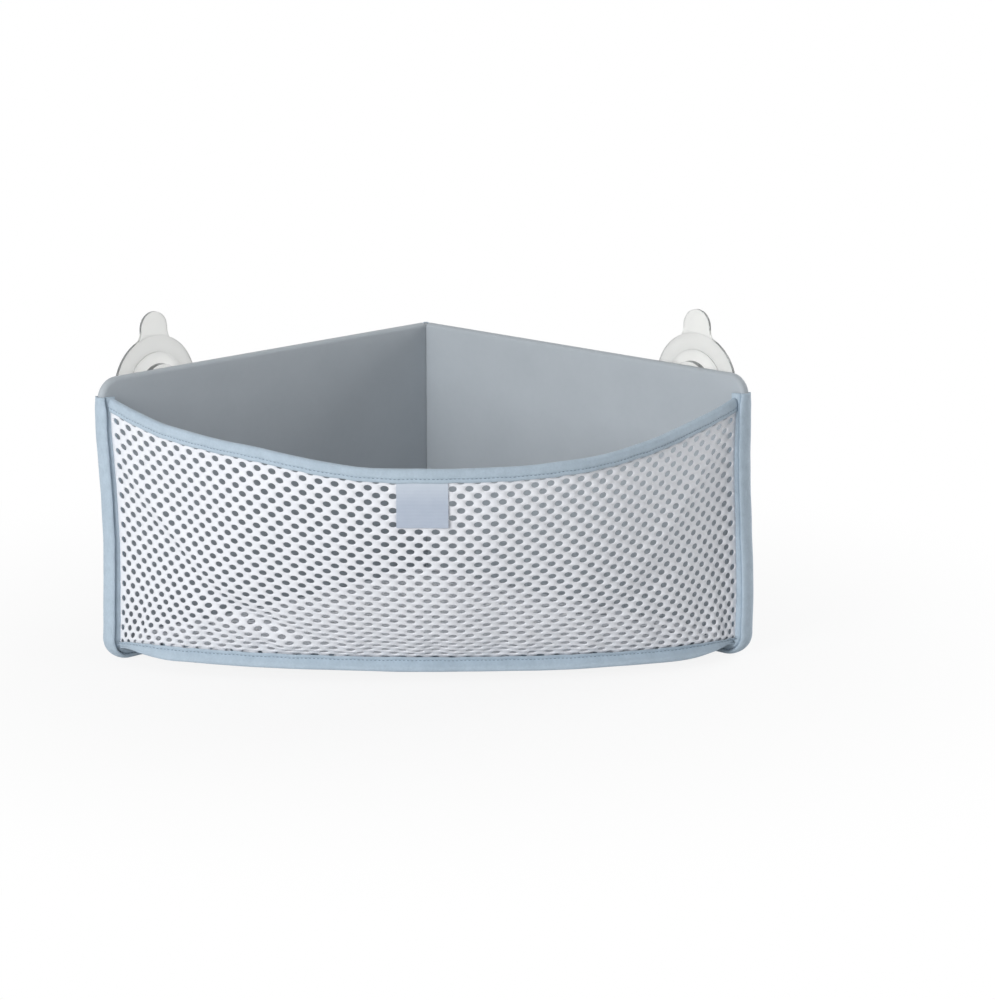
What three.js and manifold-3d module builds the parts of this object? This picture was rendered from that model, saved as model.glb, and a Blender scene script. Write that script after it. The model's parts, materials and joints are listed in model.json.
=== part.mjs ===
// Corner bath toy organizer: two stiff cloth panels at a right angle, a mesh wall that bows
// across the front between them, and two soft suction cups behind the panels.
// Millimetres, +Z up, the open front towards -Y, the rear corner towards +Y.
import * as THREE from 'three';
import { mergeVertices } from 'three/addons/utils/BufferGeometryUtils.js';
import Module from 'manifold-3d';

const wasm = await Module();
wasm.setup();

// Fit
const clearance = 0.3; // gap between pieces that lie against each other
const swivelClearance = 0.4; // gap round the neck of a cup in its eyelet

// Rear panels
const cornerAngle = 90; // degrees between the two panels
const panelLength = 283; // rear corner to front end, along one panel
const panelHeight = 180;
const panelCloth = 1.6; // thickness of the cover cloth
const boardThickness = 2.4;
const topCornerRadius = 14;
const bottomCornerRadius = 22; // outside of the tape

// Binding tape
const tapeWidth = 9; // finished width, folded
const tapeCloth = 1;
const tapeChamfer = 0.8; // rounding of the fold
const tapeOverRim = 2; // end tape above the end of the rim

// Front wall
const meshCloth = 1.2;
const rimBow = 100; // rim in front of the panel ends
const bellyBow = 78; // lower control of the wall's side profile
const seamBow = 44; // bottom seam in front of the panel ends
const crownReach = 90; // how far the flat middle of the wall pulls to each side
const endPull = 0.92; // pull of the wall's ends, square to the panels, per bow
const upperPull = 0.61; // height shares of the side profile's controls
const lowerPull = 0.22;
const rimEndDrop = 13; // end of the rim below the panels' top edge
const rimScoop = 22; // middle of the rim below its ends
const rimEndInset = 5; // wall's ends, back from the panel ends
const seamEndInset = 10;
const seamLift = 7.2; // bottom tape above the floor, in the middle
const seamEndLift = 3.7; // and at its ends
const seamMouthDrop = 0.8; // mouth of the bottom tape below the seam
const seamTail = 7.4; // cloth turned down into the bottom tape
const netColumns = 17;
const netRows = 12;
const holeWidthShare = 0.56; // hole across, per pitch
const holeHeightShare = 0.72; // hole height, per row
const netBorder = 4; // plain mesh above the bottom seam

// Base
const baseReach = 0.96; // share of the seam that the base is sewn to
const baseColumns = 28;

// Label
const labelWidth = 31;
const labelHeight = 27;
const labelCloth = 0.6;
const labelShift = -2.7; // to the left of the middle

// Suction cups and eyelets
const cupFromEnd = 54; // cup axis from the panel's front end
const cupFromTop = 13; // cup axis below the panel's top edge
const cupRadius = 32;
const lipThickness = 1.8;
const lipLand = 5; // flat ring of the suction face
const hollowDepth = 2.6;
const stepRadius = 21.5;
const stepHeight = 1.2;
const domeRise = 1.8;
const bossRadius = 14.5;
const bossHeight = 3.6;
const bossRounding = 0.8;
const headRadius = 7.4; // head of the cup, between the rear and the inner cloth
const tabWidth = 21;
const tabReach = 47; // tip of the release tab from the cup axis
const tabFlare = 3.5; // widening where the tab leaves the lip
const tabThickness = 1.3; // thinner than the lip, in the middle of it
const eyeletBoreRadius = 4.8;
const eyeletWall = 0.6;
const eyeletFlangeRadius = 8;
const eyeletFlange = 0.7;
const roundSegments = 32;

// Worked out from the above
const halfCorner = THREE.MathUtils.degToRad(cornerAngle / 2);
const pocketHalf = boardThickness / 2 + clearance; // room for the board, between the cloths
const coverHalf = pocketHalf + panelCloth;
const tapeWrap = tapeCloth + clearance;
const tapeHalf = coverHalf + tapeWrap;
const coverStart = coverHalf / Math.tan(halfCorner) + clearance;
const coverEnd = panelLength - tapeWrap;
const tapeStart = tapeHalf / Math.tan(halfCorner) + clearance;
const meshHalf = meshCloth / 2;
const rimSlotHalf = meshHalf + clearance;
const rimHalf = rimSlotHalf + tapeCloth;
const rimEndHeight = panelHeight - rimEndDrop;
const rimHeight = rimEndHeight - rimScoop;
const seamHeight = seamLift + tapeWidth + seamMouthDrop;
const seamEndHeight = seamEndLift + tapeWidth + seamMouthDrop;
const lipInner = meshHalf + clearance; // base's turned-down lip, behind the mesh
const lipOuter = lipInner + meshCloth;
const cupAlong = panelLength - cupFromEnd;
const cupHeight = panelHeight - cupFromTop;
const eyeletRadius = eyeletBoreRadius + eyeletWall;
const eyeletHole = eyeletRadius + clearance;
const eyeletSeat = pocketHalf - clearance; // inner flange, against the rear cloth
const eyeletFace = coverHalf + clearance + eyeletFlange; // washer, behind the rear cloth
const headRoom = Math.max(eyeletFlangeRadius, headRadius) + clearance;
const headLow = clearance - pocketHalf;
const headTop = eyeletSeat - eyeletFlange - clearance;
const stations = 2 * netColumns; // steps along the front wall, half a net pitch each

// Shared geometry helpers

// Welds a geometry to shared vertices and turns its faces outwards.
function closed(geometry) {
  geometry.deleteAttribute('normal');
  geometry.deleteAttribute('uv');
  const welded = mergeVertices(geometry, 1e-4);
  const index = welded.index.array;
  const corner = (k) => new THREE.Vector3().fromBufferAttribute(welded.attributes.position, index[k]);
  const faces = [];
  let volume = 0;
  for (let k = 0; k < index.length; k += 3) {
    const [a, b, c] = index.slice(k, k + 3);
    if (a === b || b === c || c === a) continue;
    faces.push([a, b, c]);
    volume += corner(k).dot(corner(k + 1).cross(corner(k + 2)));
  }
  const outward = faces.flatMap(([a, b, c]) => (volume > 0 ? [a, b, c] : [a, c, b]));
  welded.setIndex(outward);
  welded.computeVertexNormals();
  return welded;
}

function fromFaces(points, faces) {
  const geometry = new THREE.BufferGeometry().setFromPoints(points);
  geometry.setIndex(faces);
  return closed(geometry);
}

// A closed body through a row of rings, each a placed copy of one section.
function loft(rings, section) {
  const size = section.length;
  const last = (rings.length - 1) * size;
  const faces = [];
  for (let r = 0; r < last; r += size) {
    for (let k = 0; k < size; k += 1) {
      const a = r + k;
      const b = r + ((k + 1) % size);
      faces.push(a, b, b + size, a, b + size, a + size);
    }
  }
  for (const [a, b, c] of THREE.ShapeUtils.triangulateShape(section, [])) {
    faces.push(a, c, b, last + a, last + b, last + c);
  }
  return fromFaces(rings.flat(), faces);
}

function solid(geometry) {
  const body = closed(geometry);
  const vertProperties = new Float32Array(body.attributes.position.array);
  const triVerts = new Uint32Array(body.index.array);
  return new wasm.Manifold(new wasm.Mesh({ numProp: 3, vertProperties, triVerts }));
}

function fromSolid(body) {
  const { vertProperties, triVerts } = body.getMesh();
  const geometry = new THREE.BufferGeometry();
  geometry.setAttribute('position', new THREE.BufferAttribute(vertProperties, 3));
  geometry.setIndex(new THREE.BufferAttribute(triVerts, 1));
  return closed(geometry);
}

// A flat shape, drawn with height up, given a thickness about the plane of a panel.
function slab(shape, thickness) {
  const settings = { depth: thickness, bevelEnabled: false, curveSegments: 6 };
  const geometry = new THREE.ExtrudeGeometry(shape, settings);
  geometry.rotateX(Math.PI / 2);
  geometry.translate(0, thickness / 2, 0);
  return geometry;
}

const points2 = (pairs) => pairs.map(([x, y]) => new THREE.Vector2(x, y));

// Section of a folded tape: a U round a slot, measured in from the fold and across.
function foldedTape(slotLow, slotHigh, width) {
  const low = slotLow - tapeCloth;
  const high = slotHigh + tapeCloth;
  return points2([
    [0, low + tapeChamfer],
    [tapeChamfer, low],
    [width, low],
    [width, slotLow],
    [tapeCloth, slotLow],
    [tapeCloth, slotHigh],
    [width, slotHigh],
    [width, high],
    [tapeChamfer, high],
    [0, high - tapeChamfer],
  ]);
}

const colours = { tape: 0xa0afbe, panel: 0xa5acb2, mesh: 0xf0f0f5, cup: 0xe4e6e2, board: 0xd8d8d4 };

function piece(name, geometry, color, roughness = 0.8) {
  const material = new THREE.MeshStandardMaterial({ color, roughness, metalness: 0 });
  const mesh = new THREE.Mesh(geometry, material);
  mesh.name = name;
  return mesh;
}

// Front wall: a surface across (-1 left end to 1 right end) and down (0 rim to 1 bottom seam)

// A point of the right panel: along it from the rear corner, out from its middle plane.
function panelPoint(along, out) {
  const x = along * Math.sin(halfCorner) + out * Math.cos(halfCorner);
  const y = -along * Math.cos(halfCorner) + out * Math.sin(halfCorner);
  return new THREE.Vector2(x, y);
}

const sideProfile = new THREE.CubicBezierCurve(
  new THREE.Vector2(rimBow, 1),
  new THREE.Vector2(rimBow, upperPull),
  new THREE.Vector2(bellyBow, lowerPull),
  new THREE.Vector2(seamBow, 0),
);

function frontPoint(across, down) {
  const reach = Math.abs(across);
  const { x: bow, y: rise } = sideProfile.getPoint(down);
  const inset = THREE.MathUtils.lerp(rimEndInset, seamEndInset, down);
  const end = panelPoint(panelLength - inset, -tapeHalf - clearance);
  const pull = endPull * bow;
  const front = end.y - bow;
  const plan = new THREE.CubicBezierCurve(
    end,
    new THREE.Vector2(end.x - pull * Math.cos(halfCorner), end.y - pull * Math.sin(halfCorner)),
    new THREE.Vector2(crownReach, front),
    new THREE.Vector2(0, front),
  ).getPoint(1 - reach);
  const top = rimHeight + (rimEndHeight - rimHeight) * reach ** 3;
  const low = seamHeight + (seamEndHeight - seamHeight) * reach ** 2;
  return new THREE.Vector3(Math.sign(across) * plan.x, plan.y, low + (top - low) * rise);
}

const tinyStep = 1e-4;

function alongAcross(across, down) {
  const after = frontPoint(Math.min(across + tinyStep, 1), down);
  return after.sub(frontPoint(Math.max(across - tinyStep, -1), down)).normalize();
}

// A point of the wall, moved outwards along its normal.
function frontOffset(across, down, out) {
  const below = frontPoint(across, Math.min(down + tinyStep, 1));
  const steep = below.sub(frontPoint(across, Math.max(down - tinyStep, 0)));
  const normal = steep.cross(alongAcross(across, down)).normalize();
  return frontPoint(across, down).addScaledVector(normal, out);
}

// The share down the wall at a distance below the rim.
function belowRim(across, distance) {
  const speed = frontPoint(across, tinyStep).distanceTo(frontPoint(across, 0)) / tinyStep;
  return distance / speed;
}

// The share down the wall at a distance above the bottom seam.
function aboveSeam(across, distance) {
  const speed = frontPoint(across, 1 - tinyStep).distanceTo(frontPoint(across, 1)) / tinyStep;
  return 1 - distance / speed;
}

// A point beside the bottom seam: straight down from it and level outwards.
function seamOffset(across, drop, out) {
  const run = alongAcross(across, 1);
  const level = new THREE.Vector3(run.y, -run.x, 0).normalize();
  const point = frontPoint(across, 1).addScaledVector(level, out);
  point.z -= drop;
  return point;
}

const acrossAt = (step) => -1 + (2 * step) / stations;
const everyStation = Array.from({ length: stations + 1 }, (unused, step) => acrossAt(step));

// The mesh wall: staggered holes between a plain top, a plain bottom and a turned-down tail.
function frontMesh() {
  const seamLine = netRows + 1;
  const tailLine = netRows + 2;
  const points = [];
  const faces = [];
  const known = new Map();

  function place(step, line, side) {
    const across = acrossAt(step);
    const out = side * meshHalf;
    if (line === seamLine) return seamOffset(across, 0, out);
    if (line === tailLine) return seamOffset(across, seamTail, out);
    if (line < 0) return frontOffset(across, belowRim(across, tapeWrap), out);
    const first = belowRim(across, tapeWidth);
    const last = aboveSeam(across, netBorder);
    return frontOffset(across, THREE.MathUtils.lerp(first, last, line / netRows), out);
  }
  function vertex(step, line, side) {
    const key = `${step} ${line} ${side}`;
    if (!known.has(key)) {
      known.set(key, points.length);
      points.push(place(step, line, side));
    }
    return known.get(key);
  }
  function quad(a, b, c, d) {
    faces.push(a, b, c, a, c, d);
  }
  // One patch of both faces, its corners given counter-clockwise as seen from the front.
  function bothFaces(corners) {
    const outer = corners.map(([step, line]) => vertex(step, line, 1));
    const inner = corners.map(([step, line]) => vertex(step, line, -1));
    quad(...outer);
    quad(...inner.reverse());
  }
  // A wall from the outer to the inner face along one edge of the cloth or of a hole.
  function rimWall([stepA, lineA], [stepB, lineB]) {
    const outerA = vertex(stepA, lineA, 1);
    const outerB = vertex(stepB, lineB, 1);
    quad(outerA, outerB, vertex(stepB, lineB, -1), vertex(stepA, lineA, -1));
  }
  function plainPatch(step, line) {
    bothFaces([[step, line], [step, line + 1], [step + 1, line + 1], [step + 1, line]]);
  }
  function holedCell(step, line) {
    const edge = [
      [step, line],
      [step, line + 1],
      [step + 1, line + 1],
      [step + 2, line + 1],
      [step + 2, line],
      [step + 1, line],
    ];
    const hole = edge.map((unused, k) => {
      const angle = ((5 + 2 * k) * Math.PI) / 6;
      const aside = holeWidthShare * Math.cos(angle);
      const above = (holeHeightShare / 2) * Math.sin(angle);
      return [step + 1 + aside, line + 0.5 - above];
    });
    for (let k = 0; k < edge.length; k += 1) {
      const next = (k + 1) % edge.length;
      bothFaces([edge[k], edge[next], hole[next], hole[k]]);
      rimWall(hole[k], hole[next]);
    }
  }

  for (let line = 0; line < netRows; line += 1) {
    const shift = line % 2;
    for (let step = shift; step + 2 <= stations - shift; step += 2) holedCell(step, line);
    if (shift) {
      plainPatch(0, line);
      plainPatch(stations - 1, line);
    }
  }
  for (let step = 0; step < stations; step += 1) {
    plainPatch(step, -1);
    plainPatch(step, netRows);
    plainPatch(step, seamLine);
    rimWall([step, -1], [step + 1, -1]);
    rimWall([step + 1, tailLine], [step, tailLine]);
  }
  for (let line = -1; line < tailLine; line += 1) {
    rimWall([0, line + 1], [0, line]);
    rimWall([stations, line], [stations, line + 1]);
  }
  return fromFaces(points, faces);
}

function rimBinding() {
  const section = foldedTape(-rimSlotHalf, rimSlotHalf, tapeWidth);
  const ring = (across) => section.map(({ x: distance, y: out }) => (
    frontOffset(across, belowRim(across, distance), out)
  ));
  return loft(everyStation.map(ring), section);
}

// The bottom tape holds the mesh's tail in front of the base's lip.
function frontBottomBinding() {
  const section = foldedTape(-lipOuter - clearance, rimSlotHalf, tapeWidth);
  const fold = seamMouthDrop + tapeWidth;
  const ring = (across) => section.map(({ x: distance, y: out }) => (
    seamOffset(across, fold - distance, out)
  ));
  return loft(everyStation.map(ring), section);
}

// The base runs from the panels, on top of their bottom tapes, to the seam, where it turns down.
function baseMesh() {
  const rearOut = -coverHalf - clearance;
  const corners = ['rearTop', 'rearLow', 'frontLow', 'lipBack', 'lipFront', 'frontTop'];
  const section = points2([[0, 1], [0, 0], [1, 0], [1, -1], [2, -1], [2, 1]]);
  function ring(across) {
    const reach = Math.abs(across) ** 3;
    const seam = frontPoint(across, 1);
    const frontTop = seamOffset(across, -meshCloth, -lipInner);
    const frontLow = seamOffset(across, 0, -lipOuter);
    const start = panelPoint(0, rearOut);
    const along = (Math.abs(frontTop.x) - start.x) / Math.sin(halfCorner);
    const low = THREE.MathUtils.lerp(tapeWidth + clearance, seam.z, reach);
    const rearLow = new THREE.Vector3(frontTop.x, panelPoint(along, rearOut).y, low);
    const at = {
      rearTop: rearLow.clone().setZ(low + meshCloth),
      rearLow,
      frontLow,
      lipBack: seamOffset(across, seamTail, -lipOuter),
      lipFront: seamOffset(across, seamTail, -lipInner),
      frontTop,
    };
    return corners.map((corner) => at[corner]);
  }
  const rings = [];
  for (let column = 0; column <= baseColumns; column += 1) {
    rings.push(ring(baseReach * (-1 + (2 * column) / baseColumns)));
  }
  return loft(rings, section);
}

function labelPatch() {
  const columns = 4;
  const rows = 4;
  const acrossPerMillimetre = 1 / (3 * crownReach);
  const near = meshHalf + clearance;
  const top = tapeWidth + clearance;
  const down = Array.from({ length: rows + 1 }, (unused, k) => top + (labelHeight * k) / rows);
  const front = down.map((distance) => [distance, near + labelCloth]);
  const back = down.map((distance) => [distance, near]).reverse();
  const section = points2([...front, ...back]).reverse();
  const rings = [];
  for (let column = 0; column <= columns; column += 1) {
    const x = labelShift + labelWidth * (column / columns - 0.5);
    const across = x * acrossPerMillimetre;
    rings.push(section.map((p) => frontOffset(across, belowRim(across, p.x), p.y)));
  }
  return loft(rings, section);
}

// Panels, drawn along +X from the rear corner, with the thickness about Y

// Outline of a panel drawn in by an inset, with an open mouth at the bottom where one is given.
function panelOutline(inset, mouth = 0) {
  const near = coverStart + inset;
  const far = coverEnd - inset;
  const low = tapeWrap + inset;
  const high = panelHeight - inset;
  const top = topCornerRadius - inset;
  const bottom = bottomCornerRadius - tapeWrap - inset;
  const shape = new THREE.Shape();
  shape.moveTo(near, low - mouth);
  shape.lineTo(far - bottom, low - mouth);
  shape.absarc(far - bottom, low + bottom, bottom, -Math.PI / 2, 0, false);
  shape.lineTo(far, high - top);
  shape.absarc(far - top, high - top, top, 0, Math.PI / 2, false);
  shape.lineTo(near, high);
  return shape;
}

// A round cutter on the cup's axis, from the middle of the pocket out through the rear cloth.
function rearDrill(outward) {
  const length = 2 * coverHalf;
  const drill = new THREE.CylinderGeometry(eyeletHole, eyeletHole, length, roundSegments);
  drill.translate(cupAlong, (outward * length) / 2, cupHeight);
  return solid(drill);
}

// A round cutter right through the board, for the eyelet's flange and the cup's head.
function headDrill() {
  const drill = new THREE.CylinderGeometry(headRoom, headRoom, 2 * boardThickness, roundSegments);
  drill.translate(cupAlong, 0, cupHeight);
  return solid(drill);
}

// Cover cloth folded over the board, open along the bottom, where the tape closes it.
// Only the rear cloth has the eyelet's hole: the inner face is plain.
function panelCover(outward) {
  const mouth = 2 * panelCloth;
  const pocket = slab(panelOutline(panelCloth, mouth), 2 * pocketHalf);
  const body = solid(slab(panelOutline(0), 2 * coverHalf)).subtract(solid(pocket));
  return fromSolid(body.subtract(rearDrill(outward)));
}

function stiffenerBoard() {
  const board = solid(slab(panelOutline(panelCloth + clearance), boardThickness));
  return fromSolid(board.subtract(headDrill()));
}

// Tape down the panel's front end, round its bottom corner and back along its bottom edge.
function panelBinding() {
  const section = foldedTape(-coverHalf - clearance, coverHalf + clearance, tapeWidth);
  const radius = bottomCornerRadius;
  const bendSteps = 6;
  const path = [[panelLength, rimEndHeight + tapeOverRim, 0]];
  for (let k = 0; k <= bendSteps; k += 1) {
    const angle = (-Math.PI / 2) * (k / bendSteps);
    const along = panelLength - radius + radius * Math.cos(angle);
    path.push([along, radius + radius * Math.sin(angle), angle]);
  }
  path.push([tapeStart, 0, -Math.PI / 2]);
  const rings = path.map(([along, up, angle]) => section.map(({ x: distance, y: out }) => (
    new THREE.Vector3(along - distance * Math.cos(angle), out, up - distance * Math.sin(angle))
  )));
  return loft(rings, section);
}

// The bound seam at the rear corner: a root between the panels and a folded fin behind them.
function rearCornerBinding() {
  const rootAlong = coverStart - clearance;
  const root = new THREE.Vector2(0, -rootAlong / Math.cos(halfCorner));
  const shoulder = panelPoint(rootAlong, coverHalf);
  const tip = shoulder.y + tapeWidth;
  const right = [
    shoulder,
    new THREE.Vector2(rimHalf, shoulder.y + shoulder.x - rimHalf),
    new THREE.Vector2(rimHalf, tip - tapeChamfer),
    new THREE.Vector2(rimHalf - tapeChamfer, tip),
  ];
  const left = right.map(({ x, y }) => new THREE.Vector2(-x, y)).reverse();
  const height = panelHeight - 2 * tapeWrap;
  const settings = { depth: height, bevelEnabled: false };
  const geometry = new THREE.ExtrudeGeometry(new THREE.Shape([root, ...right, ...left]), settings);
  geometry.translate(0, 0, tapeWrap);
  return closed(geometry);
}

// Eyelets and suction cups, turned about Y, with +Y pointing out of the bag

const turned = (profile) => new THREE.LatheGeometry(profile, roundSegments);

// Flange inside the panel and the tube that goes out through the rear cloth.
function eyelet() {
  const flangeLow = eyeletSeat - eyeletFlange;
  const profile = points2([
    [eyeletBoreRadius, flangeLow],
    [eyeletFlangeRadius, flangeLow],
    [eyeletFlangeRadius, eyeletSeat],
    [eyeletRadius, eyeletSeat],
    [eyeletRadius, eyeletFace],
    [eyeletBoreRadius, eyeletFace],
    [eyeletBoreRadius, flangeLow],
  ]);
  return closed(turned(profile));
}

function eyeletWasher() {
  const seat = coverHalf + clearance;
  const profile = points2([
    [eyeletHole, seat],
    [eyeletFlangeRadius, seat],
    [eyeletFlangeRadius, eyeletFace],
    [eyeletHole, eyeletFace],
    [eyeletHole, seat],
  ]);
  return closed(turned(profile));
}

// One soft moulding: head, neck, boss, stepped dome and lip, with the release tab on the lip.
function suctionCup() {
  const under = eyeletFace + clearance;
  const neck = eyeletBoreRadius - swivelClearance;
  const bossTop = under + bossHeight;
  const stepFoot = bossTop + domeRise;
  const lipFront = stepFoot + stepHeight;
  const lipRear = lipFront + lipThickness;
  const hollowRadius = cupRadius - lipLand;
  const lipRounding = lipThickness / 3;
  const roundSteps = 4;
  const profile = [
    [0, headLow],
    [headRadius, headLow],
    [headRadius, headTop],
    [neck, headTop],
    [neck, under],
    [bossRadius - bossRounding, under],
    [bossRadius, under + bossRounding],
    [bossRadius, bossTop],
    [stepRadius, stepFoot],
    [stepRadius, lipFront],
    [cupRadius - lipRounding, lipFront],
    [cupRadius, lipFront + lipRounding],
    [cupRadius, lipRear - lipRounding],
    [cupRadius - lipRounding, lipRear],
  ];
  for (let k = 0; k <= roundSteps; k += 1) {
    const share = 1 - k / roundSteps;
    profile.push([hollowRadius * share, lipRear - hollowDepth * (1 - share ** 2)]);
  }
  const lipMiddle = (lipFront + lipRear) / 2;
  const tab = slab(releaseTab(hollowRadius + lipThickness), tabThickness);
  tab.translate(0, lipMiddle, 0);
  return fromSolid(solid(turned(points2(profile))).add(solid(tab)));
}

// Tab outline: flared where it leaves the lip, round at its tip.
function releaseTab(root) {
  const half = tabWidth / 2;
  const shape = new THREE.Shape();
  shape.moveTo(-half - tabFlare, root);
  shape.lineTo(half + tabFlare, root);
  shape.lineTo(half, cupRadius + tabFlare);
  shape.lineTo(half, tabReach - half);
  shape.absarc(0, tabReach - half, half, 0, Math.PI, false);
  shape.lineTo(-half, cupRadius + tabFlare);
  return shape;
}

// Assembly

const bag = new THREE.Group();
bag.add(piece('front_mesh', frontMesh(), colours.mesh, 0.9));
bag.add(piece('base_mesh', baseMesh(), colours.mesh, 0.9));
bag.add(piece('rim_binding', rimBinding(), colours.tape));
bag.add(piece('front_bottom_binding', frontBottomBinding(), colours.tape));
bag.add(piece('rear_corner_binding', rearCornerBinding(), colours.tape));
bag.add(piece('label_patch', labelPatch(), colours.tape, 0.4));

for (const side of ['left', 'right']) {
  const outward = side === 'right' ? 1 : -1;
  const panel = new THREE.Group();
  panel.rotation.z = outward * halfCorner - Math.PI / 2;
  panel.add(piece(`${side}_panel_cover`, panelCover(outward), colours.panel, 0.9));
  panel.add(piece(`${side}_stiffener_board`, stiffenerBoard(), colours.board, 0.6));
  panel.add(piece(`${side}_panel_binding`, panelBinding(), colours.tape));

  const fixing = new THREE.Group();
  fixing.position.set(cupAlong, 0, cupHeight);
  fixing.rotation.z = outward > 0 ? 0 : Math.PI;
  fixing.add(piece(`${side}_eyelet`, eyelet(), colours.cup, 0.35));
  fixing.add(piece(`${side}_eyelet_washer`, eyeletWasher(), colours.cup, 0.35));
  fixing.add(piece(`${side}_suction_cup`, suctionCup(), colours.cup, 0.25));
  panel.add(fixing);
  bag.add(panel);
}

// The origin is under the middle of the organizer, on the surface that it stands on.
const box = new THREE.Box3().setFromObject(bag, true);
const middle = box.getCenter(new THREE.Vector3());
bag.position.set(-middle.x, -middle.y, -box.min.z);

export default bag;
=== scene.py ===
"""Corner bath toy organizer: the finished look of each piece, built round its fixed frame.

Metres, +Z up, the open front towards -Y, the rear corner towards +Y.
"""

import json
import math

import bmesh
import bpy
import numpy as np
from mathutils import Matrix, Vector

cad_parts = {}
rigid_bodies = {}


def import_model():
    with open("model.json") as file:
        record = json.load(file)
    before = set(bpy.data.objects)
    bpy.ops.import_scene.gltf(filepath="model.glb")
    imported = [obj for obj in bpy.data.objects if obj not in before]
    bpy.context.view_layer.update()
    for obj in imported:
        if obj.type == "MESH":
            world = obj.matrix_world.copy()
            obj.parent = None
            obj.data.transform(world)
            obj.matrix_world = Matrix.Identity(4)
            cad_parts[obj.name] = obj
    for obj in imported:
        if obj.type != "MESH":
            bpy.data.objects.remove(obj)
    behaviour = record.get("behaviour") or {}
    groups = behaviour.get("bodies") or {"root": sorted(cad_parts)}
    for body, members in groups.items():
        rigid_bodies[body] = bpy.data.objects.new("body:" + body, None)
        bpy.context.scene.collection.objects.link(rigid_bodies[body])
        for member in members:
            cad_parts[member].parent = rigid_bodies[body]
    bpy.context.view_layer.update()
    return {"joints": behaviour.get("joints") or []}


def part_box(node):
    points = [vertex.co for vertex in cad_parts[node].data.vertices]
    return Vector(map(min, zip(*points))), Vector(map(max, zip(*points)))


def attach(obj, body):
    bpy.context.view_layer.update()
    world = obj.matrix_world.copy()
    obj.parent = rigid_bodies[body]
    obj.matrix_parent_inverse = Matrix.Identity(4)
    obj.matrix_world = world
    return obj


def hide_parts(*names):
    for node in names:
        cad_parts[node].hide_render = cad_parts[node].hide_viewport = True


bl_info = {
    "name": "Corner Bath Toy Organizer",
    "version": (1, 0, 0),
    "blender": (4, 5, 0),
    "location": "View3D > Sidebar > Organizer",
    "description": "Sews the mesh bag, its panels, tapes, label and suction cups round the frame",
    "category": "Add Mesh",
}

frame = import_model()

HALF_ROOT = math.sqrt(0.5)  # sine and cosine of the 45 degrees that each panel turns
CLOTH_MAP = "Cloth"  # UV map that holds a cloth's own flat place, in metres
EDGE_SHADE = "edge_tint"  # attribute that is 1 on the outer edge of a cup, where the cup gets painted shade
LINE_SHADE = 0.28  # painted shade of the faint lines at the steps across a cup's face
LINE_REACH = 1.5  # how far those painted lines reach, against the rounding of the edges
SHADE_CORE = 0.3  # share of its reach over which the painted shade is full
SIDES = {"left": -1, "right": 1}
TINY = 1e-4

CUP_PLACES = {
    side: Vector(next(j["pos_m"] for j in frame["joints"] if j["name"] == f"{side}_cup_swivel"))
    for side in SIDES
}
CORNER_Y = CUP_PLACES["right"].x + CUP_PLACES["right"].y  # where the panels' middle planes meet
CUP_ALONG = CUP_PLACES["right"].x / HALF_ROOT  # from the rear corner, along the panel
CUP_HEIGHT = CUP_PLACES["right"].z
PANEL_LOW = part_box("right_panel_cover")[0].z
PANEL_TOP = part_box("right_panel_cover")[1].z
END_TAPE_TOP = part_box("right_panel_binding")[1].z
FIN_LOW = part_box("rear_corner_binding")[0].z
FIN_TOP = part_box("rear_corner_binding")[1].z


# Settings


def length(name, description, default):
    return bpy.props.FloatProperty(
        name=name, description=description, default=default, unit="LENGTH", precision=5
    )


def share(name, description, default):
    return bpy.props.FloatProperty(
        name=name, description=description, default=default, min=0, max=1, subtype="FACTOR"
    )


def angle(name, description, degrees):
    return bpy.props.FloatProperty(
        name=name, description=description, default=math.radians(degrees), subtype="ANGLE"
    )


def power(name, description, default):
    return bpy.props.FloatProperty(name=name, description=description, default=default, unit="POWER")


def colour(name, description, default):
    return bpy.props.FloatVectorProperty(
        name=name, description=description, default=default, min=0, max=1, size=3, subtype="COLOR"
    )


def group(kind, name):
    return bpy.props.PointerProperty(type=kind, name=name, description=kind.__doc__)


class PanelSettings(bpy.types.PropertyGroup):
    """The two stiff cloth panels that stand in the corner"""

    length: length("Length", "Rear corner to front end, tape included", 0.283)
    half: length("Half thickness", "Middle of the board to the face of the cover", 0.0031)
    cloth: length("Cloth", "Thickness of the cover cloth", 0.0016)
    near: length("Start", "Start of the cover, from the rear corner", 0.0034)
    far: length("End", "Front end of the cover, from the rear corner", 0.2817)
    top_radius: length("Top corner", "Rounding of the top corner at the front end", 0.014)
    bottom_radius: length("Bottom corner", "Rounding of the bottom corner, under the tape", 0.0147)
    edge_round: length("Edge", "Rounding of the folded edges", 0.0026)
    eyelet_hole: length("Eyelet hole", "Radius of the hole in the rear cloth", 0.0057)
    slack: length("Slack", "How far the cloth lifts off its board", 0.0004)
    grid: length("Grid", "Spacing of the cover's faces", 0.008)


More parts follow.
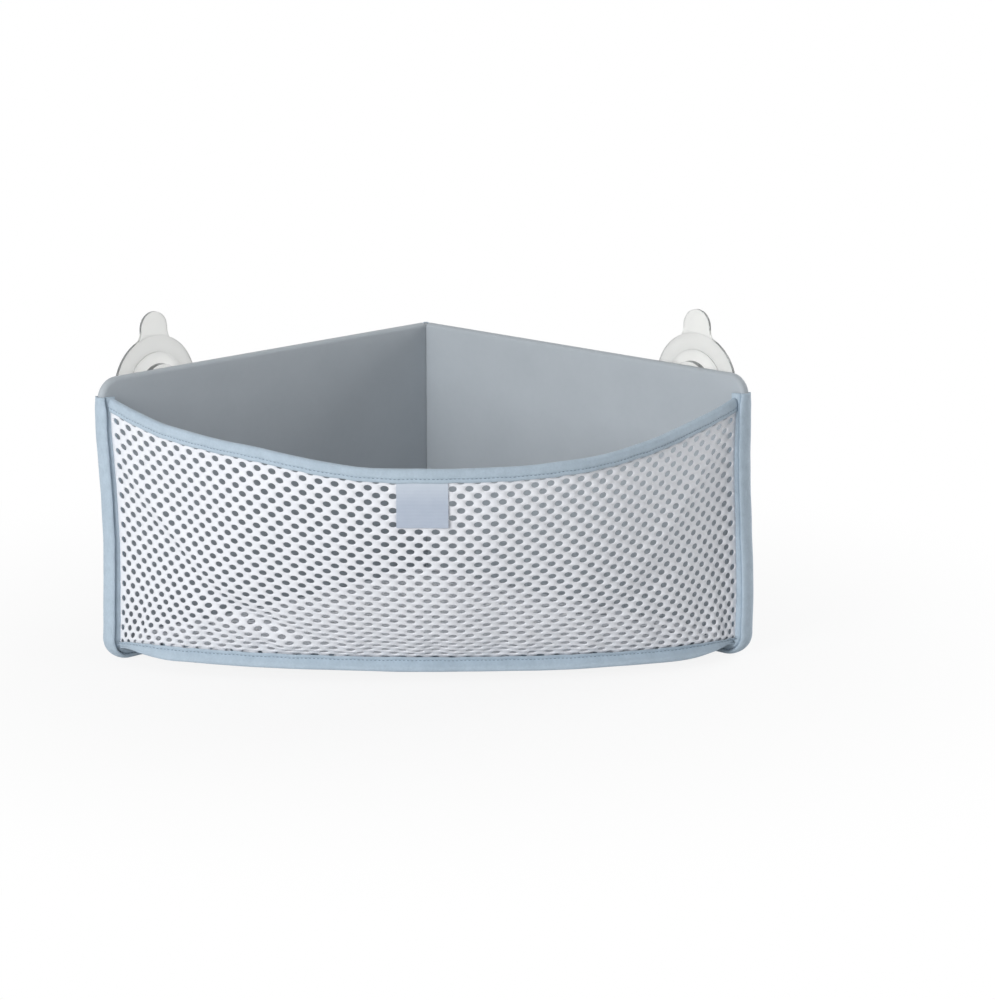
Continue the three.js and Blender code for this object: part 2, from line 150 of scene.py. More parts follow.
class TapeSettings(bpy.types.PropertyGroup):
    """The folded binding tape on every edge"""

    width: length("Width", "Finished width, from fold to edge", 0.009)
    cloth: length("Cloth", "Thickness of the tape", 0.0008)
    gap: length("Gap", "Gap between the tape and what it binds", 0.0003)
    fold: length("Fold", "Depth of the rounded fold", 0.0036)
    roll: length("Roll", "Swelling of a panel tape's fold, against its stitched edge", 0.0009)
    roll_fold: length("Roll fold", "Depth of a panel tape's rounded fold", 0.0021)
    crease: length("Crease", "Depth of the dent along a panel tape's stitches", 0.0013)
    crease_reach: length("Crease reach", "Half width of that dent", 0.00055)
    crease_inset: length("Crease inset", "Stitches of a panel tape in from its edge", 0.0057)
    flange_lift: length("Flange lift", "How far a panel tape's inner edge stands off the panel", 0.0024)
    ruck: length("Ruck", "Height of the wrinkles round a panel's bottom corner", 0.0006)
    top_pinch: share("Top pinch", "Share of a panel tape's thickness lost at its top end", 0.3)
    puff: length("Puff", "Swelling between the stitches and the fold", 0.00028)
    groove: length("Groove", "Depth of the dent along the stitches", 0.0004)
    pucker: length("Pucker", "Height of the small waves that the stitches pull", 0.00022)
    sway: length("Sway", "How far the tape wanders sideways", 0.00036)
    slip: length("Slip", "How far the fold wanders in from its edge", 0.0005)
    step: length("Step", "Spacing of the sections along a tape", 0.0016)
    rim_width: length("Rim width", "Finished width of the rim tape", 0.0083)
    rim_roll: length("Rim roll", "How far the rim's fold leans back", 0.0012)
    rim_half: length("Rim half", "Half thickness of the rim tape", 0.0019)
    panel_half: length("Panel half", "Half thickness of the tape round a panel", 0.0044)
    panel_corner: length("Panel corner", "Outside radius round a panel's bottom corner", 0.016)
    panel_near: length("Panel start", "Rear end of the panel tape, from the rear corner", 0.0047)
    seam_front: length("Seam front", "Front of the bottom tape, from the seam", 0.0019)
    seam_back: length("Seam back", "Back of the bottom tape, from the seam", -0.0034)
    seam_mouth: length("Seam mouth", "Edge of the bottom tape below the seam", 0.0008)
    seam_kick: length("Kick", "How far the bottom tape's fold stands forward", 0.0022)
    seam_hollow: length("Hollow", "How far the bottom tape falls back above its fold", 0.0022)
    end_pinch: share("Pinch", "Share of the bottom tape's width lost at its ends", 0.5)
    end_reach: length("Pinch reach", "Length of the narrowed ends", 0.07)
    tuck: length("Tuck", "Height of the folds that run out from the bottom tape's ends", 0.0007)
    tuck_reach: length("Tuck reach", "Length over which those folds die away", 0.012)
    stitch_inset: length("Stitch inset", "Stitches in from the edge", 0.0025)
    stitch_pitch: length("Stitch pitch", "From one stitch to the next", 0.0025)
    stitch_length: length("Stitch length", "Length of the thread that shows", 0.0018)
    thread: length("Thread", "Thickness of the thread", 0.0006)


class WallSettings(bpy.types.PropertyGroup):
    """The mesh wall that bows across the front"""

    rim_bow: length("Rim bow", "Rim in front of the panel ends", 0.1)
    belly_bow: length("Belly bow", "Lower control of the side profile", 0.078)
    seam_bow: length("Seam bow", "Bottom seam in front of the panel ends", 0.044)
    crown_reach: length("Crown", "How far the flat middle pulls to each side", 0.09)
    end_pull: share("End pull", "Pull of the ends, square to the panels, per bow", 0.92)
    upper_pull: share("Upper pull", "Height of the side profile's upper control", 0.61)
    lower_pull: share("Lower pull", "Height of the side profile's lower control", 0.22)
    rim_height: length("Rim height", "Height of the rim in the middle", 0.145)
    rim_end_height: length("Rim end height", "Height of the rim at its ends", 0.1675)
    rim_lean: length("Rim lean", "How much higher the left end of the rim is", 0.0012)
    rim_hitch: length("Rim hitch", "How far the left half of the rim is pulled up", 0.0063)
    seam_height: length("Seam height", "Height of the bottom seam in the middle", 0.017)
    seam_end_height: length("Seam end height", "Height of the bottom seam at its ends", 0.0135)
    seam_slump: length("Seam slump", "How much lower the seam hangs on the right", 0.0022)
    seam_tail: length("Seam tail", "Cloth below the seam, inside the bottom tape", 0.0072)
    rim_end_inset: length("Rim end inset", "Rim's ends, back from the panel ends", 0.006)
    seam_end_inset: length("Seam end inset", "Seam's ends, back from the panel ends", 0.0075)
    end_gap: length("End gap", "Wall's ends, in from the panel's middle plane", 0.0047)
    cloth: length("Cloth", "Thickness of the mesh", 0.0009)
    hole_pitch: length("Hole pitch", "From one hole to the next in a row", 0.01)
    row_pitch: length("Row pitch", "From one row of holes to the next", 0.00445)
    hole_width: length("Hole width", "Width of an oval hole", 0.005)
    hole_height: length("Hole height", "Height of an oval hole", 0.0035)
    hole_edge: length("Hole edge", "Rounding of a hole's edge", 0.00022)
    ripple: length("Ripple", "Height of the ripples in the mesh", 0.0015)


class BaseSettings(bpy.types.PropertyGroup):
    """The mesh bottom of the bag"""

    rear_height: length("Rear height", "Height of the base at the panels", 0.0099)
    rear_gap: length("Rear gap", "Base's rear edge, in from the panel's middle plane", 0.0036)
    front_gap: length("Front gap", "Base's front edge, behind the bottom seam", 0.0015)
    half_width: length("Half width", "Middle to the narrow ends", 0.1835)
    sag: length("Sag", "How far the middle hangs", 0.0025)
    border: length("Border", "Plain cloth along the edges", 0.0015)


class LabelSettings(bpy.types.PropertyGroup):
    """The satin label under the rim tape"""

    width: length("Width", "Width of the ribbon", 0.0304)
    drop: length("Drop", "From the rim to the fold", 0.0358)
    tuck: length("Tuck", "From the rim to the sewn end, under the tape", 0.0073)
    shift: length("Shift", "Middle of the label, to the right of the bag's middle", -0.0027)
    cloth: length("Cloth", "Thickness of the ribbon", 0.00022)
    loop: length("Loop", "Room in the fold at the lower edge", 0.0006)
    lift: length("Lift", "How far the lower edge stands off the mesh", 0.0008)


class CupSettings(bpy.types.PropertyGroup):
    """The soft suction cups behind the panels, placed from the panel's middle plane"""

    radius: length("Radius", "Outside of the lip", 0.032)
    head_radius: length("Head", "Head inside the panel", 0.0074)
    neck_radius: length("Neck", "Neck in the eyelet", 0.0044)
    boss_radius: length("Boss", "Boss behind the panel", 0.0145)
    step_radius: length("Step", "Step on the front of the lip", 0.0215)
    head_low: length("Head face", "Inner face of the head", -0.0012)
    head_top: length("Head back", "Rear face of the head", 0.0002)
    under: length("Boss face", "Front of the boss", 0.0044)
    boss_top: length("Boss back", "Where the dome leaves the boss", 0.008)
    step_foot: length("Step foot", "Where the dome meets the step", 0.0098)
    lip_front: length("Lip front", "Front face of the lip", 0.0106)
    lip_rear: length("Lip rear", "Suction face", 0.0128)
    lip_land: length("Land", "Flat ring of the suction face", 0.005)
    hollow: length("Hollow", "Depth of the hollow", 0.0026)
    rounding: length("Rounding", "Rounding of the moulded edges", 0.0002)
    tab_width: length("Tab width", "Width of the release tab", 0.021)
    tab_reach: length("Tab reach", "Tip of the tab from the cup's axis", 0.047)
    tab_flare: length("Tab flare", "Widening where the tab leaves the lip", 0.0035)
    tab_thickness: length("Tab thickness", "Thickness of the tab", 0.002)


class ColourSettings(bpy.types.PropertyGroup):
    """Colours of the finishes, as they look under plain light"""

    mesh: colour("Mesh", "White mesh cloth", (0.865, 0.88, 0.907))
    mesh_shade: colour("Mesh shade", "Shaded yarn of the mesh", (0.755, 0.78, 0.845))
    tape: colour("Tape", "Binding tape", (0.345, 0.43, 0.51))
    tape_light: colour("Tape light", "Worn and raised parts of the tape", (0.50, 0.605, 0.70))
    thread: colour("Thread", "Sewing thread", (0.10, 0.14, 0.19))
    panel: colour("Panel", "Cover cloth of the panels", (0.37, 0.41, 0.445))
    panel_light: colour("Panel light", "Rubbed parts of the cover cloth", (0.45, 0.49, 0.525))
    satin: colour("Satin", "Label ribbon", (0.36, 0.42, 0.53))
    # painted highlight: the lighter colour of the label near its sewn end at the top
    satin_light: colour("Satin light", "Worn threads near the sewn end of the label", (0.62, 0.68, 0.75))
    vinyl: colour("Vinyl", "Suction cups", (0.93, 0.935, 0.915))
    # painted shade: the dark look of the cups' edges where the clear vinyl is looked into
    vinyl_edge: colour("Vinyl edge", "Outer edge of the cups", (0.11, 0.12, 0.135))
    board: colour("Board", "Stiffener boards", (0.70, 0.70, 0.67))
    eyelet: colour("Eyelet", "Eyelets and washers", (0.60, 0.61, 0.61))
    floor: colour("Floor", "Floor near the organizer", (0.75, 0.75, 0.75))


class StageSettings(bpy.types.PropertyGroup):
    """Camera, floor and light"""

    aim_front: length("Aim in front", "Point that the camera circles, in front of the middle", 0.0537)
    aim_height: length("Aim height", "Height of that point", 0.09)
    distance: length("Distance", "Camera to that point", 1.8)
    elevation: angle("Elevation", "Camera above the horizon", 13.72)
    turn: angle("Turn", "Camera turned to the right of that point", 1.4316)
    tilt: angle("Tilt", "Camera tilted above that point", 0.4)
    lens: bpy.props.FloatProperty(
        name="Lens", description="Focal length", default=104.5, subtype="DISTANCE_CAMERA"
    )
    floor_size: length("Floor size", "Side of the floor", 12.0)
    clear_near: length("Clear from", "Where the floor starts to turn white, from its middle", 0.1)
    clear_far: length("Clear to", "Where the floor is all white", 0.5)
    glow: share("Glow", "How white the floor looks near the organizer, against its shadow", 0.86)
    key_power: power("Key", "Power of the key lamp, in front on the left", 66.0)
    edge_power: power("Edge", "Power of the lamp behind on the right", 44.0)
    lamp_size: length("Lamp size", "Side of the square lamps", 1.4)
    sky: share("Sky", "Strength of the even light from all sides", 0.42)


class OrganizerSettings(bpy.types.PropertyGroup):
    """All sizes and colours of the organizer"""

    panel: group(PanelSettings, "Panels")
    tape: group(TapeSettings, "Tapes")
    wall: group(WallSettings, "Front Wall")
    base: group(BaseSettings, "Base")
    label: group(LabelSettings, "Label")
    cup: group(CupSettings, "Suction Cups")
    colours: group(ColourSettings, "Colours")
    stage: group(StageSettings, "Stage")


# Curves and surfaces


def bezier(a, b, c, d, t):
    rest = 1 - t
    return a * rest**3 + 3 * b * rest**2 * t + 3 * c * rest * t**2 + d * t**3


def smooth(value, low, high):
    """0 below low, 1 above high, and a soft step between."""
    t = np.clip((value - low) / (high - low), 0, 1)
    return t * t * (3 - 2 * t)


# Height, pace and phase of the three waves that wander adds up
WANDER_WAVES = ((0.5, 1, 0), (0.3, 1.73, 1.1), (0.2, 0.41, 2.3))


def wander(place, pitch, phase=0.0):
    """A smooth wave with no plain repeat, from about -1 to 1."""
    turn = math.tau * np.asarray(place) / pitch + phase
    return sum(height * np.sin(pace * turn + shift) for height, pace, shift in WANDER_WAVES)


def bell(away, reach):
    """1 at a place, and less the further away from it."""
    return np.exp(-((away / reach) ** 2))


def spots_of(*parts):
    """Numbers side by side, as the coordinates of points."""
    return np.stack(np.broadcast_arrays(*parts), axis=-1)


def unit(vectors):
    return vectors / np.linalg.norm(vectors, axis=-1, keepdims=True)


def path_length(points):
    """How far each point of a path is from its first one, along the path."""
    steps = np.linalg.norm(np.diff(points, axis=0), axis=-1)
    return np.concatenate([[0], np.cumsum(steps)])


# Bend of the left and the right panel's front end: how far it goes, the height at which it crosses
# the straight line, and the height of its half wave
END_BENDS = ((0.0018, 0.128, 0.098), (-0.0025, 0.085, 0.115))
BEND_REACH = 0.05  # from the cup's axis to where a panel's end is bent in full


def end_bend(up, side):
    """How far a panel's front end stands forward of a straight one, at a height."""
    left, right = [reach * np.sin(math.pi * (up - level) / wave) for reach, level, wave in END_BENDS]
    return np.where(np.asarray(side) < 0, left, right)


def panel_place(along, out, up, side):
    """A point of a panel: along from the rear corner, out of the bag, and up."""
    along = along + end_bend(up, side) * smooth(along, CUP_ALONG, CUP_ALONG + BEND_REACH)
    x = side * (along + out) * HALF_ROOT
    y = CORNER_Y + (out - along) * HALF_ROOT
    return spots_of(x, y, up)


# Share along the wall, share down it, slope and strength of each fold that drags on the mesh
DRAG_FOLDS = (
    (0.10, 0.42, 2.2, 1.0),
    (0.17, 0.62, 1.8, -0.8),
    (0.27, 0.80, 1.1, -1.9),
    (0.31, 0.90, 0.9, 1.1),
    (0.88, 0.35, -2.4, 0.9),
    (0.80, 0.66, -1.6, -0.7),
    (0.55, 0.84, 0.5, 0.6),
)
FOLD_HEIGHT = 0.055  # half width of a drag fold, as a share of the wall's depth
FOLD_REACH = 0.09  # half length of a drag fold, as a share of the wall's width


class Wall:
    """The front mesh as flat cloth: a place along it and a share of its depth give a point."""

    columns = 400
    rows = 160
    measured_at = 0.4  # share of the way down at which the cloth's width is measured
    slump_from = -0.42  # where the bottom seam's slump starts, from -1 to 1 across
    slump_width = 1.25  # how wide the slump is, on the same scale
    slump_hold = 8  # power with which the ends hold the slump back
    gather_reach = 0.16  # share of the depth over which the gathers die away
    gather_pitch = 0.034
    wave_height = 0.9  # slow waves against the gathers
    wave_pitch = 0.13
    wave_slant = 0.05  # how far a slow wave runs sideways on its way down
    seam_hold = 0.06  # share of the depth that the bottom seam keeps flat
    side_hold = 0.05  # share of the width that each end keeps flat
    rim_hold = (0.05, 0.2)  # share of the depth at which ripples start, and are in full
    least_slack = 0.5  # the hem's hollow at the left end, against its middle
    hollow_pace = 1.4  # the hollow is over at 1 / 1.4 of the tape's width

    def __init__(self, settings):
        self.sizes = settings.wall
        self.tape = settings.tape
        self.panel_length = settings.panel.length
        across = np.linspace(-1, 1, 2 * self.columns + 1)
        run = path_length(self.surface(across, np.full_like(across, self.measured_at)))
        self.width = run[-1]
        self.places = np.linspace(0, self.width, self.columns + 1)
        self.across = np.interp(self.places, run, across)
        down = np.linspace(0, 1, 2 * self.rows + 1)
        shares = np.linspace(0, 1, self.rows + 1)
        self.depths = np.empty(self.columns + 1)
        even = np.empty((self.columns + 1, self.rows + 1))
        for column, place in enumerate(self.across):
            drop = path_length(self.surface(np.full_like(down, place), down))
            self.depths[column] = drop[-1]
            even[column] = np.interp(shares * drop[-1], drop, down)
        self.depth = float(np.median(self.depths))
        self.points = self.surface(self.across[:, None], even)
        lift = self.ripples(self.places[:, None], shares[None, :])
        self.points = self.points + self.face(self.points) * lift[..., None]
        self.normals = self.face(self.points)

    def surface(self, across, down):
        """The smooth wall, across from -1 to 1 and down from the rim to the bottom seam."""
        sizes = self.sizes
        reach = np.abs(across)
        bow = bezier(sizes.rim_bow, sizes.rim_bow, sizes.belly_bow, sizes.seam_bow, down)
        rise = bezier(1, sizes.upper_pull, sizes.lower_pull, 0, down)
        inset = sizes.rim_end_inset + (sizes.seam_end_inset - sizes.rim_end_inset) * down
        level = sizes.seam_end_height + (sizes.rim_end_height - sizes.seam_end_height) * rise
        along = self.panel_length - inset + end_bend(level, across) * reach**2
        end_x = (along - sizes.end_gap) * HALF_ROOT
        end_y = CORNER_Y - (along + sizes.end_gap) * HALF_ROOT
        pull = sizes.end_pull * bow * HALF_ROOT
        x = bezier(end_x, end_x - pull, sizes.crown_reach, 0, 1 - reach)
        y = bezier(end_y, end_y - pull, end_y - bow, end_y - bow, 1 - reach)
        end = sizes.rim_end_height - sizes.rim_lean * across
        top = sizes.rim_height + (end - sizes.rim_height) * reach**3
        top = top + sizes.rim_hitch * self.hitch(across)
        low = sizes.seam_height + (sizes.seam_end_height - sizes.seam_height) * reach**2
        slump = np.sin(math.pi * (across - self.slump_from) / self.slump_width)
        low = low - sizes.seam_slump * slump * (1 - reach**self.slump_hold)
        return spots_of(np.sign(across) * x, y, low + (top - low) * rise)

    @staticmethod
    def hitch(across):
        """A hump on the left half, 0 at the end and the middle and 1 at its top."""
        t = np.clip(1 + across, 0, 1)
        return (4 * t * (1 - t)) ** 3

    @staticmethod
    def face(points):
        """Outward normals of a grid of points."""
        return unit(np.cross(np.gradient(points, axis=1), np.gradient(points, axis=0)))

    def ripples(self, place, depth):
        """Gathers above the bottom seam, slow waves, and folds that drag from the ends."""
        side = place / self.width
        off_seam = smooth(1 - depth, 0, self.seam_hold)
        gathers = np.exp((depth - 1) / self.gather_reach) * wander(place, self.gather_pitch, phase=0.6)
        slanted = place + self.wave_slant * depth
        waves = self.wave_height * wander(slanted, self.wave_pitch, phase=1.9) * np.sin(math.pi * depth)
        drags = 0
        for middle, height, slope, strength in DRAG_FOLDS:
            aside = side - middle
            away = depth - height - slope * aside
            drags = drags + strength * bell(away, FOLD_HEIGHT) * bell(aside, FOLD_REACH)
        off_ends = smooth(side, 0, self.side_hold) * smooth(1 - side, 0, self.side_hold)
        held = off_ends * smooth(depth, *self.rim_hold)
        return self.sizes.ripple * held * ((gathers + drags) * off_seam + waves)

    def between(self, table, place, depth):
        """Values between the four nearest points of a grid."""
        u = np.clip(place / self.width, 0, 1) * self.columns
        v = np.clip(depth, 0, 1) * self.rows
        i = np.minimum(u.astype(int), self.columns - 1)
        j = np.minimum(v.astype(int), self.rows - 1)
        u, v = (u - i)[..., None], (v - j)[..., None]
        here = table[i, j] * (1 - v) + table[i, j + 1] * v
        beside = table[i + 1, j] * (1 - v) + table[i + 1, j + 1] * v
        return here * (1 - u) + beside * u

    def at(self, place, depth, out=0.0):
        """A point of the cloth: its place along, its share of the depth and its distance out."""
        place, depth, out = np.broadcast_arrays(place, depth, np.asarray(out, float))
        normal = self.between(self.normals, place, depth)
        return self.between(self.points, place, depth) + normal * out[..., None]

    def below_rim(self, place, distance, out=0.0):
        """A point at a distance below the rim."""
        return self.at(place, distance / np.interp(place, self.places, self.depths), out)

    def below_seam(self, place, drop, out=0.0):
        """A point straight down from the bottom seam, and level outwards."""
        place, drop, out = np.broadcast_arrays(place, drop, np.asarray(out, float))
        inside = np.clip(place, TINY, self.width - TINY)
        run = self.at(inside + TINY, 1.0) - self.at(inside - TINY, 1.0)
        level = unit(spots_of(run[..., 1], -run[..., 0], 0))
        point = self.at(place, 1.0) + level * out[..., None]
        point[..., 2] -= drop
        return point

    def hem(self, place):
        """Share of the bottom tape's width that is left, less towards its pinched ends."""
        inside = np.minimum(place, self.width - place)
        return 1 - self.tape.end_pinch * (1 - smooth(inside, 0, self.tape.end_reach))

    def hung(self, place, drop, out=0.0):
        """A point of the hem below the seam, which is hollow at first and stands forward at its fold."""
        drop = drop * self.hem(place)
        deep = np.clip(drop / self.tape.width, 0, None)
        slack = self.least_slack + place / self.width
        hollow = self.tape.seam_hollow * slack * np.sin(math.pi * np.clip(self.hollow_pace * deep, 0, 1))
        return self.below_seam(place, drop, out + self.tape.seam_kick * deep**2 - hollow)

    def middle_place(self, x):
        """The place along the cloth whose rim is at a given X near the middle."""
        return float(np.interp(x, self.points[:, 0, 0], self.places))


# Cloth meshes


def cloth_object(name, points, faces, flat=None):
    """A mesh object at the origin, with the cloth's flat places as a UV map."""
    mesh = bpy.data.meshes.new(name)
    mesh.from_pydata(np.asarray(points).tolist(), [], faces)
    if flat is not None:
        corners = np.empty(len(mesh.loops), np.int32)
        mesh.loops.foreach_get("vertex_index", corners)
        layer = mesh.uv_layers.new(name=CLOTH_MAP)
        layer.data.foreach_set("uv", np.asarray(flat, np.float32)[corners].ravel())
    obj = bpy.data.objects.new(name, mesh)
    bpy.context.scene.collection.objects.link(obj)
    return obj


def face_outwards(obj):
    """Turns the faces of a closed mesh outwards."""
    work = bmesh.new()
    work.from_mesh(obj.data)
    bmesh.ops.recalc_face_normals(work, faces=work.faces)
    if work.calc_volume(signed=True) < 0:
        bmesh.ops.reverse_faces(work, faces=work.faces)
    work.to_mesh(obj.data)
    work.free()


def paint(obj, finish_name):
    obj.data.materials.clear()
    obj.data.materials.append(finish(finish_name))


def dress(obj, body, slot, finish_name, *nodes):
    """Gives a piece its finish and its body, and hides the solids that it stands for."""
    paint(obj, finish_name)
    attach(obj, body)
    if nodes:
        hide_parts(*nodes)


# Edge of a cell of mesh cloth, down its left side and round, in quarter pitches and half rows
CELL_WIDE, CELL_HIGH = 4, 2
CELL_EDGE = (
    (0, 0), (0, 1), (0, 2), (1, 2), (2, 2), (3, 2),
    (4, 2), (4, 1), (4, 0), (3, 0), (2, 0), (1, 0),
)
FIRST_ANGLE = math.radians(150)  # where the first point of an edge lies, seen from the cell's middle
RING_ANGLES = FIRST_ANGLE + math.tau / len(CELL_EDGE) * np.arange(len(CELL_EDGE))
RING_CIRCLE = spots_of(np.cos(RING_ANGLES), -np.sin(RING_ANGLES))  # rows run down the circle
MERGED = 1e7  # points of one cloth that agree to 1 / MERGED metres are the same point


class MeshCloth:
    """Cloth of staggered cells with oval holes.

    flat turns a count of quarter pitches and half rows into the cloth's own place, and place turns that
    place and a distance out into a point. The edge of a hole is rounded over three rings of points.
    """

    def __init__(self, sizes, flat, place):
        self.flat = flat
        self.place = place
        self.half = sizes.cloth / 2
        hole = np.array([sizes.hole_width, sizes.hole_height]) / 2
        levels = ((sizes.hole_edge, 1), (0.0, 0), (sizes.hole_edge, -1))
        self.rings = [(RING_CIRCLE * (hole + grow), face) for grow, face in levels]
        self.spots, self.outs, self.faces = [], [], []
        self.known, self.uses = {}, {}

    def key(self, spot):
        return tuple(round(float(part) * MERGED) for part in self.flat(*spot))

    def corner(self, key, face):
        """The point of a key on one face of the cloth, made when it is first asked for."""
        if (key, face) not in self.known:
            self.known[key, face] = len(self.spots)
            self.spots.append(np.array(key) / MERGED)
            self.outs.append(face)
        return self.known[key, face]

    def edge_keys(self, keys):
        """Notes the edges of a cell, because those that only one cell uses are the cloth's own edge."""
        for a, b in zip(keys, keys[1:] + keys[:1]):
            self.uses.setdefault(frozenset((a, b)), []).append((a, b))

    def hole(self, column, row):
        """A cell with a hole, from the cloth's front through the hole to its back."""
        border = [self.key((column + x, row + y)) for x, y in CELL_EDGE]
        middle = np.array(self.flat(column + CELL_WIDE // 2, row + CELL_HIGH // 2))
        ways = np.sign(middle - self.flat(column, row))
        loops = [[self.corner(key, 1) for key in border]]
        for oval, face in self.rings:
            first = len(self.spots)
            self.spots.extend(middle + ways * oval)
            self.outs.extend([face] * len(oval))
            loops.append(range(first, first + len(oval)))
        loops.append([self.corner(key, -1) for key in border])
        size = len(border)
        for outer, inner in zip(loops, loops[1:]):
            for k in range(size):
                after = (k + 1) % size
                self.faces.append([outer[k], outer[after], inner[after], inner[k]])
        self.edge_keys(border)

    def plain(self, column, row, columns=CELL_WIDE):
        """A cell without a hole, in quarters that may be cut off at the cloth's edge."""
        for x in range(column, column + columns):
            for y in range(row, row + CELL_HIGH):
                corners = [self.key(spot) for spot in ((x, y), (x, y + 1), (x + 1, y + 1), (x + 1, y))]
                keys = list(dict.fromkeys(corners))
                if len(keys) > 2:
                    self.faces.append([self.corner(key, 1) for key in keys])
                    self.faces.append([self.corner(key, -1) for key in reversed(keys)])
                    self.edge_keys(keys)

    def weave(self, columns, rows, roomy):
        """Fills the cloth with staggered cells, with a hole wherever roomy says there is room for it."""
        for row in range(rows):
            top = CELL_HIGH * row
            first = CELL_WIDE // 2 * (row % 2)
            last = CELL_WIDE * columns - first
            for column in range(first, last, CELL_WIDE):
                make = self.hole if roomy(column, top) else self.plain
                make(column, top)
            if first:
                self.plain(0, top, first)
                self.plain(last, top, first)

    def build(self, name):
        for used in self.uses.values():
            if len(used) == 1:
                a, b = used[0]
                self.faces.append([self.corner(*end) for end in ((b, 1), (a, 1), (a, -1), (b, -1))])
        spots = np.array(self.spots)
        points = self.place(spots[:, 0], spots[:, 1], np.array(self.outs) * self.half)
        obj = cloth_object(name, points, self.faces, spots)
        obj.data.shade_smooth()
        face_outwards(obj)
        return obj


def tube_faces(count, size):
    """Faces between each ring of points and the next."""
    faces = []
    for start in range(0, (count - 1) * size, size):
        for k in range(size):
            a, b = start + k, start + (k + 1) % size
            faces.append([a, b, b + size, a + size])
    return faces


def loft_fold(name, stations, outer, inner, place):
    """A folded cloth: outer and inner lines of (distance from the fold, out), carried along stations."""
    loop = np.concatenate([outer, inner[::-1]])
    size, half, count = len(loop), len(outer), len(stations)
    along = np.repeat(stations, size)
    ring = np.tile(loop, (count, 1))
    points = place(along, ring[:, 0], ring[:, 1])
    run = path_length(outer)
    flat = spots_of(along, np.tile(np.concatenate([run, run[::-1]]), count))
    faces = tube_faces(count, size)
    last = (count - 1) * size
    for k in range(half - 1):
        cap = [k, size - 1 - k, size - 2 - k, k + 1]
        faces.append(cap)
        faces.append([last + c for c in reversed(cap)])
    obj = cloth_object(name, points, faces, flat)
    face_outwards(obj)
    obj.data.shade_smooth()
    return obj


